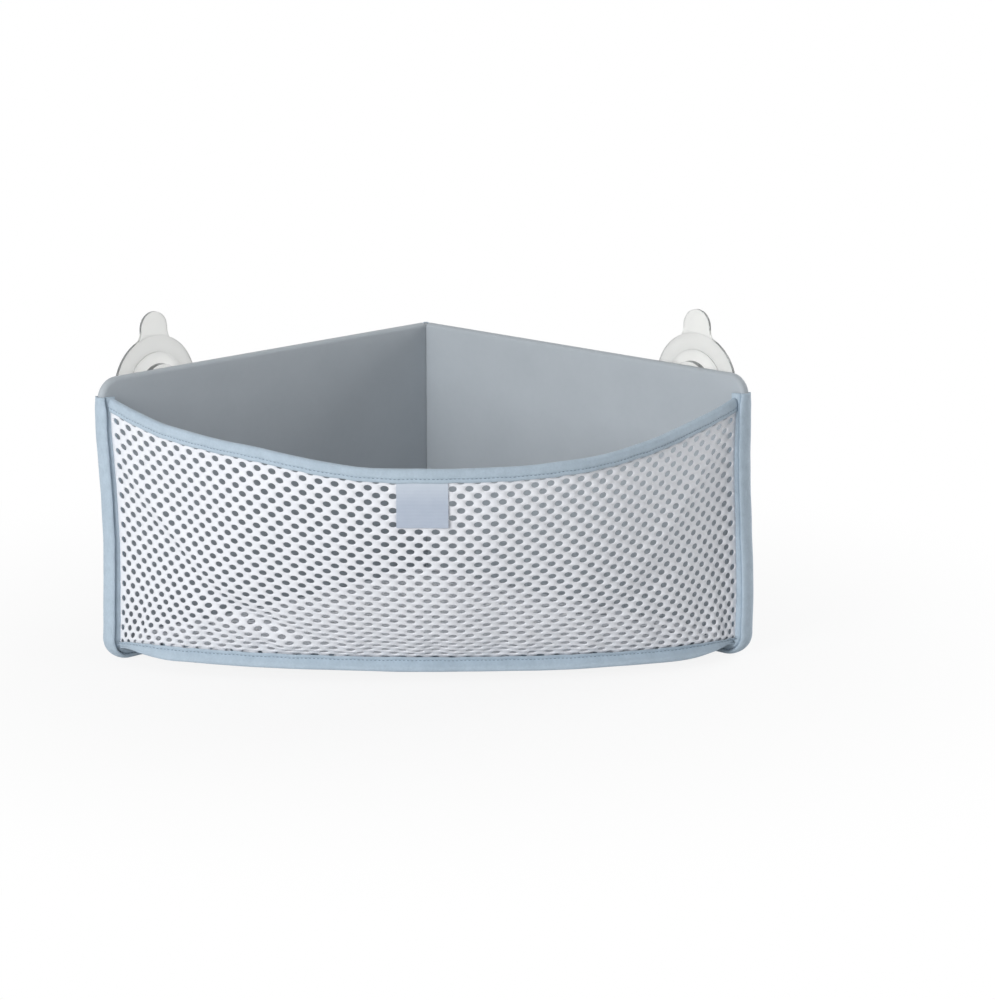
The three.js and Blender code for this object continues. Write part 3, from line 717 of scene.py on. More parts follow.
class Tape:
    """A tape folded over an edge, with outer faces at low and high.

    rail gives a point for a length along, a distance from the fold, and a distance out.
    """

    fold_power = 0.8  # a fold a little squarer than a half circle
    round_power = 1.0  # a half circle
    fold_limit = 1.2  # depth of the deepest fold, in half thicknesses
    fold_steps = 9
    swell_steps = 6
    dent = 0.00045  # half width of the dent along the stitches
    dent_spots = np.array([2, 1, 0.5, 0, -0.5, -1, -2])  # where it is drawn, in half widths
    flap = 0.3  # share of the dent's depth by which the edge beyond the stitches is sunk
    edge_in = 0.25  # rounding of the cut edge, as shares of the cloth's thickness
    edge_down = 0.35
    thread_sink = 0.8  # share of the dent's depth at which the stitches lie
    sway_pitch = 0.047
    wobble_share = 0.8  # wandering of the edge against that of the fold
    wobble_pitch = 0.023
    slip_pitch = 0.083
    pucker_pitch = 0.0075
    pucker_reach = 0.0016  # how far from the stitches the puckers reach
    phase_rate = 500  # gives the waves of thick and thin tapes different phases

    def __init__(self, sizes, rail, total, low, high, width=None):
        self.sizes = sizes
        self.rail = rail
        self.width = width or sizes.width
        self.roll = 0.0
        self.groove = sizes.groove
        self.stations = np.linspace(0, total, max(2, round(total / sizes.step)) + 1)
        self.middle = (low + high) / 2
        self.half = (high - low) / 2
        self.seam = self.width - sizes.stitch_inset
        self.fold = min(sizes.fold, self.half * self.fold_limit)

    def creased(self):
        """Gives the tape the full roll and the deep stitched crease of a panel's edge."""
        sizes = self.sizes
        self.roll = sizes.roll
        self.fold = sizes.roll_fold
        self.fold_power = self.round_power
        self.groove = sizes.crease
        self.dent = sizes.crease_reach
        self.seam = self.width - sizes.crease_inset
        return self

    def outside(self, distance):
        """Half thickness of the tape at a distance from the fold."""
        sizes = self.sizes
        swell = np.sin(math.pi * np.clip((distance - self.fold) / (self.seam - self.fold), 0, 1))
        dent = bell(distance - self.seam, self.dent)
        flap = self.flap * smooth(distance, self.seam, self.width)
        roll = self.roll * (1 - smooth(distance, self.fold, self.seam))
        return self.half + roll + sizes.puff * swell - self.groove * (dent + flap)

    def lines(self):
        """Outer and inner line of the folded tape, each as distance from the fold and out."""
        cloth = self.sizes.cloth
        dent = self.seam + self.dent * self.dent_spots
        flat = np.concatenate([
            [self.width, self.width - self.edge_in * cloth],
            dent,
            np.linspace(dent[-1], self.fold, self.swell_steps)[1:-1],
        ])
        face = self.outside(flat)
        lining = np.minimum(face, self.half) - cloth
        face[0] -= self.edge_down * cloth
        lining[0] += self.edge_in * cloth
        turn = np.linspace(0, math.pi, 2 * self.fold_steps + 1)
        bend = 1 - np.abs(np.sin(turn)) ** self.fold_power
        over = np.sign(np.cos(turn)) * np.abs(np.cos(turn)) ** self.fold_power
        outer_distance = np.concatenate([flat, self.fold * bend, flat[::-1]])
        inner_distance = np.concatenate([flat, cloth + (self.fold - cloth) * bend, flat[::-1]])
        outer = self.middle + np.concatenate([face, (self.half + self.roll) * over, -face[::-1]])
        inner = self.middle + np.concatenate([lining, (self.half - cloth) * over, -lining[::-1]])
        return spots_of(outer_distance, outer), spots_of(inner_distance, inner)

    def place(self, along, distance, out):
        """A point of the tape, with the small wanderings of a sewn edge."""
        sizes = self.sizes
        loose = distance / self.width
        phase = self.phase_rate * self.half
        side = np.sign(out - self.middle)
        aside = sizes.sway * wander(along, self.sway_pitch, 2 * phase) * (1 - 0.5 * loose)
        wobble = self.wobble_share * sizes.sway * wander(along, self.wobble_pitch, 2 + phase) * loose
        slip = sizes.slip * (0.5 + 0.5 * wander(along, self.slip_pitch, phase)) * (1 - loose)
        pulled = bell(distance - self.seam, self.pucker_reach) * side
        pucker = sizes.pucker * wander(along, self.pucker_pitch, phase + side) * pulled
        return self.rail(along, distance + wobble + slip, out + aside + pucker)

    def build(self, name, *nodes):
        outer, inner = self.lines()
        obj = loft_fold(name, self.stations, outer, inner, self.place)
        dress(obj, "bag", "binding_tape", "tape", *nodes)
        return obj

    def flat_size(self):
        """Width and length that the tape is cut to."""
        outer, inner = self.lines()
        width = (path_length(outer)[-1] + path_length(inner)[-1]) / 2
        line = self.rail(self.stations, np.full_like(self.stations, self.width / 2), self.middle)
        return width, path_length(line)[-1]

    def stitch_frames(self, side):
        """Middle, direction along, direction across and direction out of each stitch on one face."""
        sizes = self.sizes
        run = path_length(self.rail(self.stations, np.full_like(self.stations, self.seam), self.middle))
        count = int(run[-1] / sizes.stitch_pitch) - 1
        spots = np.interp(sizes.stitch_pitch * (1 + np.arange(count)), run, self.stations)
        spots = np.clip(spots, 2 * TINY, self.stations[-1] - 2 * TINY)
        distance = np.full_like(spots, self.seam)
        out = np.full_like(spots, self.middle + side * (self.half - self.thread_sink * self.groove))
        middle = self.place(spots, distance, out)
        along = unit(self.place(spots + TINY, distance, out) - self.place(spots - TINY, distance, out))
        above = unit(self.place(spots, distance, out + side * TINY) - middle)
        across = unit(np.cross(above, along))
        return middle, along, across, np.cross(along, across)


TUCK_MIDDLE = 0.35  # share of the bottom tape's width from which the tucks at its ends fan out
TUCK_PACE = 9  # how close together they are
RUCK_PACE = 15  # how close together the wrinkles round a panel's bottom corner are
FLARE_REACH = 1.6  # how gently the rear tape widens on to the panels


def rim_tape(settings, wall):
    """The tape over the rim. Its fold leans back."""
    sizes = settings.tape

    def rail(along, distance, out):
        back = sizes.rim_roll * np.clip(1 - distance / sizes.rim_width, 0, None) ** 2
        return wall.below_rim(along + sizes.gap, distance, out - back)

    total = wall.width - 2 * sizes.gap
    return Tape(sizes, rail, total, -sizes.rim_half, sizes.rim_half, sizes.rim_width)


def bottom_tape(settings, wall):
    """The tape round the bottom seam. Its fold stands forward, and its ends are pinched narrower."""
    sizes = settings.tape

    def rail(along, distance, out):
        place = along + sizes.gap
        inside = np.clip(np.minimum(place, wall.width - place), TINY, None)
        spread = np.arctan2(distance - TUCK_MIDDLE * sizes.width, inside)
        tuck = sizes.tuck * np.exp(-inside / sizes.tuck_reach) * np.sin(TUCK_PACE * spread)
        return wall.hung(place, sizes.seam_mouth + sizes.width - distance, out + tuck)

    return Tape(sizes, rail, wall.width - 2 * sizes.gap, sizes.seam_back, sizes.seam_front)


def panel_tape(settings, side):
    """The tape down a panel's front end, round its bottom corner and back along its bottom edge."""
    sizes, panel = settings.tape, settings.panel
    radius = sizes.panel_corner
    down = END_TAPE_TOP - radius
    bend = radius * math.pi / 2
    back = panel.length - radius - sizes.panel_near

    def rail(along, distance, out):
        turn = np.clip((along - down) / radius, 0, math.pi / 2)
        ahead = np.maximum(along - down - bend, 0)
        reach = radius - distance
        place = panel.length - radius + reach * np.cos(turn) - ahead
        up = radius - reach * np.sin(turn) + np.maximum(down - along, 0)
        near_top = 1 - smooth(along, 0, sizes.width)
        near_fold = 1 - np.clip(distance / sizes.width, 0, 1)
        pinch = sizes.top_pinch * near_top * near_fold
        ruck = sizes.ruck * np.sin(2 * turn) * np.sin(RUCK_PACE * turn) * (1 - near_fold)
        flange = smooth(distance, sizes.width - sizes.crease_inset, sizes.width) * (out < 0)
        lift = sizes.flange_lift * flange * (1 - smooth(turn, 0, math.pi / 2))
        return panel_place(place, out * (1 - pinch) + ruck * np.sign(out) - lift, up, SIDES[side])

    half = sizes.panel_half
    return Tape(sizes, rail, down + bend + back, -half, half).creased()


def corner_tape(settings):
    """The tape over the joined edges of the panels, which stands out behind the rear corner."""
    sizes, panel = settings.tape, settings.panel
    shoulder = 2 * panel.half * HALF_ROOT
    spread = shoulder - sizes.rim_half

    def rail(along, distance, out):
        foot = smooth(distance, sizes.width - FLARE_REACH * spread, sizes.width)
        flare = 1 + spread / sizes.rim_half * foot
        return spots_of(out * flare, CORNER_Y + sizes.width - distance, FIN_TOP - along)

    return Tape(sizes, rail, FIN_TOP - FIN_LOW, -sizes.rim_half, sizes.rim_half)


def all_tapes(settings, wall):
    return {
        "rim_tape": rim_tape(settings, wall),
        "front_bottom_tape": bottom_tape(settings, wall),
        "left_panel_tape": panel_tape(settings, "left"),
        "right_panel_tape": panel_tape(settings, "right"),
        "rear_corner_tape": corner_tape(settings),
    }


# Modelling by hand


def select_only(*objects):
    bpy.ops.object.select_all(action="DESELECT")
    for obj in objects:
        obj.select_set(True)
    if objects:
        bpy.context.view_layer.objects.active = objects[0]


def edit_all():
    """Selects everything in edit mode."""
    bpy.ops.object.mode_set(mode="EDIT")
    bpy.ops.mesh.select_all(action="SELECT")


def edit_points(obj, test):
    """Selects, in edit mode, the points whose place passes a test."""
    bpy.ops.object.mode_set(mode="EDIT")
    bpy.ops.mesh.select_mode(type="VERT")
    bpy.ops.mesh.select_all(action="DESELECT")
    bpy.ops.object.mode_set(mode="OBJECT")
    for point in obj.data.vertices:
        point.select = bool(test(point.co))
    bpy.ops.object.mode_set(mode="EDIT")


def apply_modifier(obj, kind, **settings):
    select_only(obj)
    modifier = obj.modifiers.new(kind.title(), kind)
    for key, value in settings.items():
        setattr(modifier, key, value)
    bpy.ops.object.modifier_apply(modifier=modifier.name)


def apply_place(obj):
    select_only(obj)
    bpy.ops.object.transform_apply(location=True, rotation=True, scale=True)


def points_in(obj):
    return np.array([point.co for point in obj.data.vertices])


SAME_POINT = 1e-6  # points of a spun shape that are nearer than this are one
ROUND_STEPS = 48  # points round a tab's end or an eyelet's hole
DOME_BULGE = 0.5  # how round a cup's dome is, where 0 is a straight cone

# Shares of the way at which a cup's dome, its hollow and the fillets of its tab are drawn
DOME_SHARES = (0.25, 0.5, 0.75)
HOLLOW_SHARES = (0.95, 0.8, 0.6, 0.4, 0.2, 0)
FILLET_SHARES = (0, 0.3, 0.55, 0.75, 0.9, 1)


def turned(name, profile, steps):
    """A profile of (radius, place along Y), drawn point by point and spun about Y."""
    select_only()
    bpy.ops.mesh.primitive_plane_add(size=profile[1][0])
    obj = bpy.context.object
    obj.name = name
    edit_all()
    bpy.ops.mesh.merge(type="CENTER")
    bpy.ops.transform.translate(value=(profile[0][0], profile[0][1], 0))
    for (radius, place), (next_radius, next_place) in zip(profile, profile[1:]):
        move = {"value": (next_radius - radius, next_place - place, 0)}
        bpy.ops.mesh.extrude_region_move(TRANSFORM_OT_translate=move)
    bpy.ops.mesh.select_all(action="SELECT")
    bpy.ops.mesh.spin(steps=steps, angle=math.tau, center=(0, 0, 0), axis=(0, 1, 0))
    bpy.ops.mesh.select_all(action="SELECT")
    bpy.ops.mesh.remove_doubles(threshold=SAME_POINT)
    bpy.ops.mesh.normals_make_consistent(inside=False)
    bpy.ops.object.mode_set(mode="OBJECT")
    return obj


def cup_profile(cup):
    """Half section of a cup, from its head inside the panel to the hollow behind."""
    wide = cup.step_radius - cup.boss_radius
    rise = cup.step_foot - cup.boss_top
    dome = [
        (cup.boss_radius + wide * t, cup.boss_top + rise * t * (1 + DOME_BULGE * (1 - t)))
        for t in DOME_SHARES
    ]
    land = cup.radius - cup.lip_land
    hollow = [(land * t, cup.lip_rear - cup.hollow * (1 - t * t)) for t in HOLLOW_SHARES]
    return [
        (0, cup.head_low),
        (cup.head_radius, cup.head_low),
        (cup.head_radius, cup.head_top),
        (cup.neck_radius, cup.head_top),
        (cup.neck_radius, cup.under),
        (cup.boss_radius, cup.under),
        (cup.boss_radius, cup.boss_top),
        *dome,
        (cup.step_radius, cup.step_foot),
        (cup.step_radius, cup.lip_front),
        (cup.radius, cup.lip_front),
        (cup.radius, cup.lip_rear),
        (land, cup.lip_rear),
        *hollow,
    ]


def release_tab(cup):
    """The tab above the lip: a half round, drawn down, filleted into the lip and thickened."""
    half = cup.tab_width / 2
    middle = cup.tab_reach - half
    front = cup.lip_rear - cup.tab_thickness
    neck = cup.radius + cup.tab_flare
    meet = math.sqrt(cup.radius**2 - (half + cup.tab_flare) ** 2)
    fillet = [
        (half + cup.tab_flare * (1 - math.sqrt(1 - t * t)), neck + (meet - neck) * t)
        for t in FILLET_SHARES
    ]
    sides = [(half, middle), *fillet, (half + cup.tab_flare, meet - cup.lip_land / 2)]
    select_only()
    bpy.ops.mesh.primitive_circle_add(
        vertices=ROUND_STEPS, radius=half, location=(0, front, middle), rotation=(math.pi / 2, 0, 0)
    )
    tab = bpy.context.object
    apply_place(tab)
    edit_points(tab, lambda spot: spot.z < middle - TINY)
    bpy.ops.mesh.delete(type="VERT")
    bpy.ops.mesh.select_all(action="SELECT")
    bpy.ops.mesh.edge_face_add()
    edit_points(tab, lambda spot: spot.z < middle + TINY)
    for (wide, high), (next_wide, next_high) in zip(sides, sides[1:]):
        bpy.ops.mesh.extrude_region_move(TRANSFORM_OT_translate={"value": (0, 0, next_high - high)})
        bpy.ops.transform.resize(value=(next_wide / wide, 1, 1), center_override=(0, front, next_high))
    bpy.ops.mesh.select_all(action="SELECT")
    bpy.ops.mesh.extrude_region_move(TRANSFORM_OT_translate={"value": (0, cup.tab_thickness, 0)})
    bpy.ops.mesh.select_all(action="SELECT")
    bpy.ops.mesh.normals_make_consistent(inside=False)
    bpy.ops.object.mode_set(mode="OBJECT")
    return tab


def edge_tint(obj, cup):
    """Marks the points that get painted shade: the outer edges of the lip and the tab, the boss's side,
    and faint lines at the lip's rim and the step.
    """
    x, y, z = points_in(obj).T
    x = np.abs(x)
    away = np.hypot(x, z)
    lip = cup.radius - away
    half = cup.tab_width / 2
    flare = cup.tab_flare * smooth(cup.radius + cup.tab_flare - z, 0, cup.tab_flare + cup.lip_land / 2)
    tip = half - np.hypot(x, np.maximum(z - cup.tab_reach + half, 0))
    tab = np.where(z > cup.tab_reach - half, tip, half + flare - x)
    inside = np.maximum(lip, np.where(z > 0, tab, -1))
    front = np.where((z > 0) & (tab > -cup.rounding), cup.lip_rear - cup.tab_thickness, cup.lip_front)
    boss = np.abs(away - cup.boss_radius) + np.maximum(y - cup.boss_top, 0)
    lines = np.minimum(np.abs(lip), np.abs(away - cup.step_radius))

    def near(gap, reach):
        return 1 - smooth(gap, SHADE_CORE * reach, reach)

    # painted shade, full on the outer sides of the lip and the tab and on the boss, faint along the
    # lip's rim and the step
    outer = near(inside, cup.rounding) * (1 - near(y - front, cup.rounding))
    steps = LINE_SHADE * near(lines, LINE_REACH * cup.rounding)
    tint = np.max([outer, near(boss, cup.rounding), steps], axis=0)
    layer = obj.data.attributes.new(EDGE_SHADE, "FLOAT", "POINT")
    layer.data.foreach_set("value", tint.astype(np.float32))


THREAD_SIDES = 6
THREAD_FLAT = 0.8  # height of the thread against its width
STITCH_END = 0.3  # share of a stitch's length, from its middle, at which it turns down
STITCH_DIP = 0.3  # how far it turns down, against the thread's thickness


def stitch_shape(sizes):
    """One stitch along X: a low-sided ball drawn out, with its ends turned down into the cloth."""
    select_only()
    bpy.ops.mesh.primitive_uv_sphere_add(
        segments=THREAD_SIDES, ring_count=THREAD_SIDES, radius=sizes.thread / 2
    )
    obj = bpy.context.object
    obj.rotation_euler = (0, math.pi / 2, 0)
    apply_place(obj)
    edit_all()
    drawn = (sizes.stitch_length / sizes.thread, 1, THREAD_FLAT)
    bpy.ops.transform.resize(value=drawn, center_override=(0, 0, 0))
    edit_points(obj, lambda spot: abs(spot.x) > STITCH_END * sizes.stitch_length)
    bpy.ops.transform.translate(value=(0, 0, -STITCH_DIP * sizes.thread))
    bpy.ops.object.mode_set(mode="OBJECT")
    points = points_in(obj)
    faces = [list(face.vertices) for face in obj.data.polygons]
    bpy.data.objects.remove(obj)
    return points, faces


# Finishes


class Wire:
    """An output socket of a material's node tree. Arithmetic on wires adds Math nodes."""

    def __init__(self, tree, socket=None):
        self.tree = tree
        self.socket = socket

    def node(self, kind, settings=None, inputs=None, output=0):
        """Adds a node, sets it up, feeds its sockets with values or wires, and gives one output."""
        made = self.tree.nodes.new(kind)
        for key, value in (settings or {}).items():
            setattr(made, key, value)
        for key, value in (inputs or {}).items():
            if isinstance(value, Wire):
                self.tree.links.new(value.socket, made.inputs[key])
            else:
                made.inputs[key].default_value = value
        return Wire(self.tree, made.outputs[output] if made.outputs else None)

    def maths(self, operation, *values):
        return self.node("ShaderNodeMath", {"operation": operation}, dict(enumerate(values)))

    def __add__(self, other):
        return self.maths("ADD", self, other)

    def __radd__(self, other):
        return self.maths("ADD", other, self)

    def __sub__(self, other):
        return self.maths("SUBTRACT", self, other)

    def __rsub__(self, other):
        return self.maths("SUBTRACT", other, self)

    def __mul__(self, other):
        return self.maths("MULTIPLY", self, other)

    def __rmul__(self, other):
        return self.maths("MULTIPLY", other, self)

    def yarn(self, pitch, shift=None):
        """A wave over this place, from -1 to 1, with one turn for each yarn."""
        turn = self * (math.tau / pitch)
        if shift is not None:
            turn = turn + shift
        return self.maths("SINE", turn)

    def blend(self, low, high):
        """A colour between two others, by this wire's value."""
        inputs = {0: self, 6: (*low, 1), 7: (*high, 1)}  # the Mix node's factor and its two colours
        return self.node("ShaderNodeMix", {"data_type": "RGBA", "clamp_factor": True}, inputs, 2)

    def mottle(self, size, detail=3.0):
        """Soft noise over this place, from 0 to 1, with patches of a given size."""
        inputs = {"Vector": self, "Scale": 1 / size, "Detail": detail, "Roughness": 0.55}
        return self.node("ShaderNodeTexNoise", inputs=inputs)

    def parts(self):
        """The two flat numbers of a cloth's place."""
        return [self.node("ShaderNodeSeparateXYZ", inputs={0: self}, output=k) for k in (0, 1)]


def cloth_place(start):
    return start.node("ShaderNodeUVMap", {"uv_map": CLOTH_MAP})


def object_place(start):
    return start.node("ShaderNodeTexCoord", output="Object")


def surface(start, tint, rough, height, depth, constants=None):
    """A principled surface with a bump of a given depth, and the material's output."""
    bump = start.node("ShaderNodeBump", inputs={"Strength": 1.0, "Distance": depth, "Height": height})
    inputs = {"Base Color": tint, "Roughness": rough, "Normal": bump, **(constants or {})}
    shader = start.node("ShaderNodeBsdfPrincipled", inputs=inputs)
    start.node("ShaderNodeOutputMaterial", inputs={"Surface": shader})


def mesh_finish(start, colours):
    """Knitted white polyester: fine wales down the cloth, crossed by looser courses."""
    spot = cloth_place(start)
    along, down = spot.parts()
    wales = along.yarn(pitch=0.00062)
    courses = down.yarn(pitch=0.00085, shift=wales * 0.9)
    knit = wales * 0.25 + courses * 0.25 + 0.5
    patch = spot.mottle(size=0.012)
    fuzz = spot.mottle(size=0.0009, detail=2.0)
    tint = (knit * 0.35 + patch * 0.5 + fuzz * 0.2).blend(colours.mesh_shade, colours.mesh)
    rough = 0.92 - knit * 0.12
    surface(start, tint, rough, knit + fuzz * 0.7, depth=0.00012, constants={"Sheen Weight": 0.15})


def tape_finish(start, colours):
    """Woven tape: close ribs across it, a plain weave between, and lighter rubbed patches."""
    spot = cloth_place(start)
    along, across = spot.parts()
    ribs = along.yarn(pitch=0.0007)
    weft = across.yarn(pitch=0.0005)
    weave = ribs * 0.3 + ribs * weft * 0.2 + 0.5
    fuzz = spot.mottle(size=0.0014, detail=2.0)
    patch = spot.mottle(size=0.006)
    broad = spot.mottle(size=0.035, detail=1.0)
    lighter_share = weave * 0.3 + fuzz * 0.6 + patch * 0.8 + broad * 0.6 - 0.65
    tint = lighter_share.blend(colours.tape, colours.tape_light)
    rough = 0.86 - weave * 0.16
    height = weave + fuzz * 1.2 + patch * 0.8
    surface(start, tint, rough, height, depth=0.00014, constants={"Sheen Weight": 0.12})


def panel_finish(start, colours):
    """Smooth grey cloth in a close plain weave, a little lighter where it is rubbed."""
    spot = cloth_place(start)
    along, up = spot.parts()
    weave = along.yarn(pitch=0.00055) * up.yarn(pitch=0.00055) * 0.5 + 0.5
    patch = spot.mottle(size=0.03)
    slub = spot.mottle(size=0.004, detail=4.0)
    tint = (weave * 0.25 + patch * 0.55 + slub * 0.25).blend(colours.panel, colours.panel_light)
    rough = 0.88 - weave * 0.1
    height = weave * 0.6 + slub * 0.8
    surface(start, tint, rough, height, depth=0.0001, constants={"Sheen Weight": 0.1})


HIGHLIGHT_FADE = 70  # the label's painted highlight is gone at 1 / 70 m from its sewn end


def satin_finish(start, colours):
    """Satin ribbon: long floating threads along it, with a soft gloss."""
    spot = cloth_place(start)
    across, along = spot.parts()
    floats = across.yarn(pitch=0.00035)
    grain = along.yarn(pitch=0.0021, shift=floats * 1.4)
    thread = floats * 0.3 + grain * 0.2 + 0.5
    patch = spot.mottle(size=0.008)
    # painted highlight: the label is lighter towards its sewn end at the top
    clamped = {"operation": "SUBTRACT", "use_clamp": True}
    lighter_share = start.node("ShaderNodeMath", clamped, {0: 1.0, 1: along * HIGHLIGHT_FADE})
    tint = (thread * 0.25 + patch * 0.25 + lighter_share * 0.5).blend(colours.satin, colours.satin_light)
    rough = 0.42 - thread * 0.1
    surface(start, tint, rough, thread, depth=0.00004, constants={"Sheen Weight": 0.1})


def thread_finish(start, colours):
    """Twisted polyester thread."""
    fuzz = object_place(start).mottle(size=0.0006, detail=2.0)
    tint = fuzz.blend(colours.thread, colours.tape)
    surface(start, tint, 0.8 - fuzz * 0.15, fuzz, depth=0.00008)


def vinyl_finish(start, colours):
    """Soft milky vinyl, with painted shade on its outer edges where they are looked into, on its boss
    and along the steps of its face.
    """
    spot = object_place(start)
    edge = start.node("ShaderNodeAttribute", {"attribute_name": EDGE_SHADE}, output="Fac")
    haze = spot.mottle(size=0.02)
    grain = spot.mottle(size=0.0015, detail=2.0)
    # the marked points are blended towards the painted edge shade
    tint = (edge * 0.85 + haze * 0.06 - 0.02).blend(colours.vinyl, colours.vinyl_edge)
    clear = {"Transmission Weight": 0.78, "IOR": 1.46}
    surface(start, tint, 0.26 + haze * 0.12, grain * 0.5 + haze, depth=0.00012, constants=clear)


PATCH_DEEP = 0.86  # colour of the deeper patches in plastic, against the plain one


def board_finish(start, colours):
    """Plain sheet with a fine grain."""
    moulded(start, colours.board, rough=0.5)


def eyelet_finish(start, colours):
    """Moulded light grey plastic."""
    moulded(start, colours.eyelet, rough=0.3)


def moulded(start, tint, rough):
    """Moulded plastic, a little deeper in colour in patches."""
    spot = object_place(start)
    grain = spot.mottle(size=0.0012)
    patch = spot.mottle(size=0.02)
    deep = [PATCH_DEEP * part for part in tint]
    surface(start, patch.blend(deep, tint), rough + grain * 0.12, grain, depth=0.0001)


def floor_finish(start, colours):
    """A pale floor that keeps the shadow, is white further out and isn't there from below."""
    stage = bpy.context.scene.organizer.stage
    away = start.node("ShaderNodeVectorMath", {"operation": "LENGTH"}, {0: object_place(start)}, "Value")
    fade = {"From Min": stage.clear_near, "From Max": stage.clear_far, "To Min": stage.glow}
    far = start.node("ShaderNodeMapRange", {"interpolation_type": "SMOOTHSTEP"}, {"Value": away, **fade})
    matte = start.node("ShaderNodeBsdfDiffuse", inputs={"Color": (*colours.floor, 1)})
    white = start.node("ShaderNodeEmission", inputs={"Color": (1, 1, 1, 1), "Strength": 1.0})
    above = start.node("ShaderNodeMixShader", inputs={0: far * seen_rays(start), 1: matte, 2: white})
    below = start.node("ShaderNodeNewGeometry", output="Backfacing")
    clear = start.node("ShaderNodeBsdfTransparent")
    shown = start.node("ShaderNodeMixShader", inputs={0: below, 1: above, 2: clear})
    start.node("ShaderNodeOutputMaterial", inputs={"Surface": shown})


def seen_rays(start):
    """1 for what the camera sees, by itself, in gloss or through clear parts, and 0 for light."""
    kinds = ("Is Camera Ray", "Is Glossy Ray", "Is Transmission Ray")
    camera, glossy, through = [start.node("ShaderNodeLightPath", output=kind) for kind in kinds]
    return start.maths("MAXIMUM", start.maths("MAXIMUM", camera, glossy), through)


FINISHES = {
    "mesh": mesh_finish,
    "tape": tape_finish,
    "panel": panel_finish,
    "satin": satin_finish,
    "thread": thread_finish,
    "vinyl": vinyl_finish,
    "board": board_finish,
    "eyelet": eyelet_finish,
    "floor": floor_finish,
}


def finish(name):
    """The finish of that name, made when it is first asked for."""
    full_name = f"{name}_finish"
    material = bpy.data.materials.get(full_name)
    if material is None:
        material = bpy.data.materials.new(full_name)
        material.use_nodes = True
        material.node_tree.nodes.clear()
        FINISHES[name](Wire(material.node_tree), bpy.context.scene.organizer.colours)
    return material


# Pieces


class ORGANIZER_OT_stage(bpy.types.Operator):
    """Set up the camera, the floor and the lamps"""

    bl_idname = "organizer.stage"
    bl_label = "Stage"

    key_place = (-1.85, -2.35, 0.95)
    edge_place = (2.1, 1.45, 0.9)

    def execute(self, context):
        scene, sizes = context.scene, context.scene.organizer.stage
        scene.view_settings.view_transform = "Standard"
        self.camera(scene, sizes)
        self.floor(sizes)
        self.sky(scene, sizes)
        self.lamp("key_lamp", self.key_place, sizes.key_power, sizes)
        self.lamp("edge_lamp", self.edge_place, sizes.edge_power, sizes)
        return {"FINISHED"}

    @staticmethod
    def camera(scene, sizes):
        data = bpy.data.cameras.new("photo_camera")
        data.lens = sizes.lens
        camera = bpy.data.objects.new("photo_camera", data)
        back = sizes.distance * math.cos(sizes.elevation)
        up = sizes.distance * math.sin(sizes.elevation)
        camera.location = (0, -sizes.aim_front - back, sizes.aim_height + up)
        camera.rotation_euler = (math.pi / 2 - sizes.elevation + sizes.tilt, 0, -sizes.turn)
        scene.collection.objects.link(camera)
        scene.camera = camera

    @staticmethod
    def floor(sizes):
        select_only()
        bpy.ops.mesh.primitive_plane_add(size=sizes.floor_size)
        floor = bpy.context.object
        floor.name = "floor"
        paint(floor, "floor")

    @staticmethod
    def sky(scene, sizes):
        scene.world = bpy.data.worlds.new("studio")
        scene.world.use_nodes = True
        scene.world.node_tree.nodes.clear()
        start = Wire(scene.world.node_tree)
        seen = seen_rays(start)
        strength = seen * (1 - sizes.sky) + sizes.sky
        light = start.node("ShaderNodeBackground", inputs={"Color": (1, 1, 1, 1), "Strength": strength})
        start.node("ShaderNodeOutputWorld", inputs={"Surface": light})

    @staticmethod
    def lamp(name, place, watts, sizes):
        data = bpy.data.lights.new(name, "AREA")
        data.energy = watts
        data.size = sizes.lamp_size
        lamp = bpy.data.objects.new(name, data)
        lamp.location = place
        aim = Vector((0, 0, sizes.aim_height)) - lamp.location
        lamp.rotation_euler = aim.to_track_quat("-Z", "Y").to_euler()
        bpy.context.scene.collection.objects.link(lamp)


class ORGANIZER_OT_front_mesh(bpy.types.Operator):
    """Cut the front wall from mesh cloth, with its oval holes and light ripples"""

    bl_idname = "organizer.front_mesh"
    bl_label = "Front Mesh"

    def execute(self, context):
        settings = context.scene.organizer
        sizes = settings.wall
        wall = Wall(settings)
        top = settings.tape.cloth + settings.tape.gap
        deep = wall.depth + sizes.seam_tail - top
        columns = round(wall.width / sizes.hole_pitch)
        rows = round(deep / sizes.row_pitch)

        def flat(column, row):
            return wall.width * column / (CELL_WIDE * columns), top + deep * row / (CELL_HIGH * rows)

        def place(along, down, out):
            hung = wall.hung(along, down - wall.depth, out)
            return np.where((down > wall.depth)[:, None], hung, wall.at(along, down / wall.depth, out))

        cloth = MeshCloth(sizes, flat, place)
        cloth.weave(columns, rows, roomy=lambda column, row: True)
        obj = cloth.build("front_mesh_cloth")
        dress(obj, "bag", "mesh_cloth", "mesh", "front_mesh")
        return {"FINISHED"}


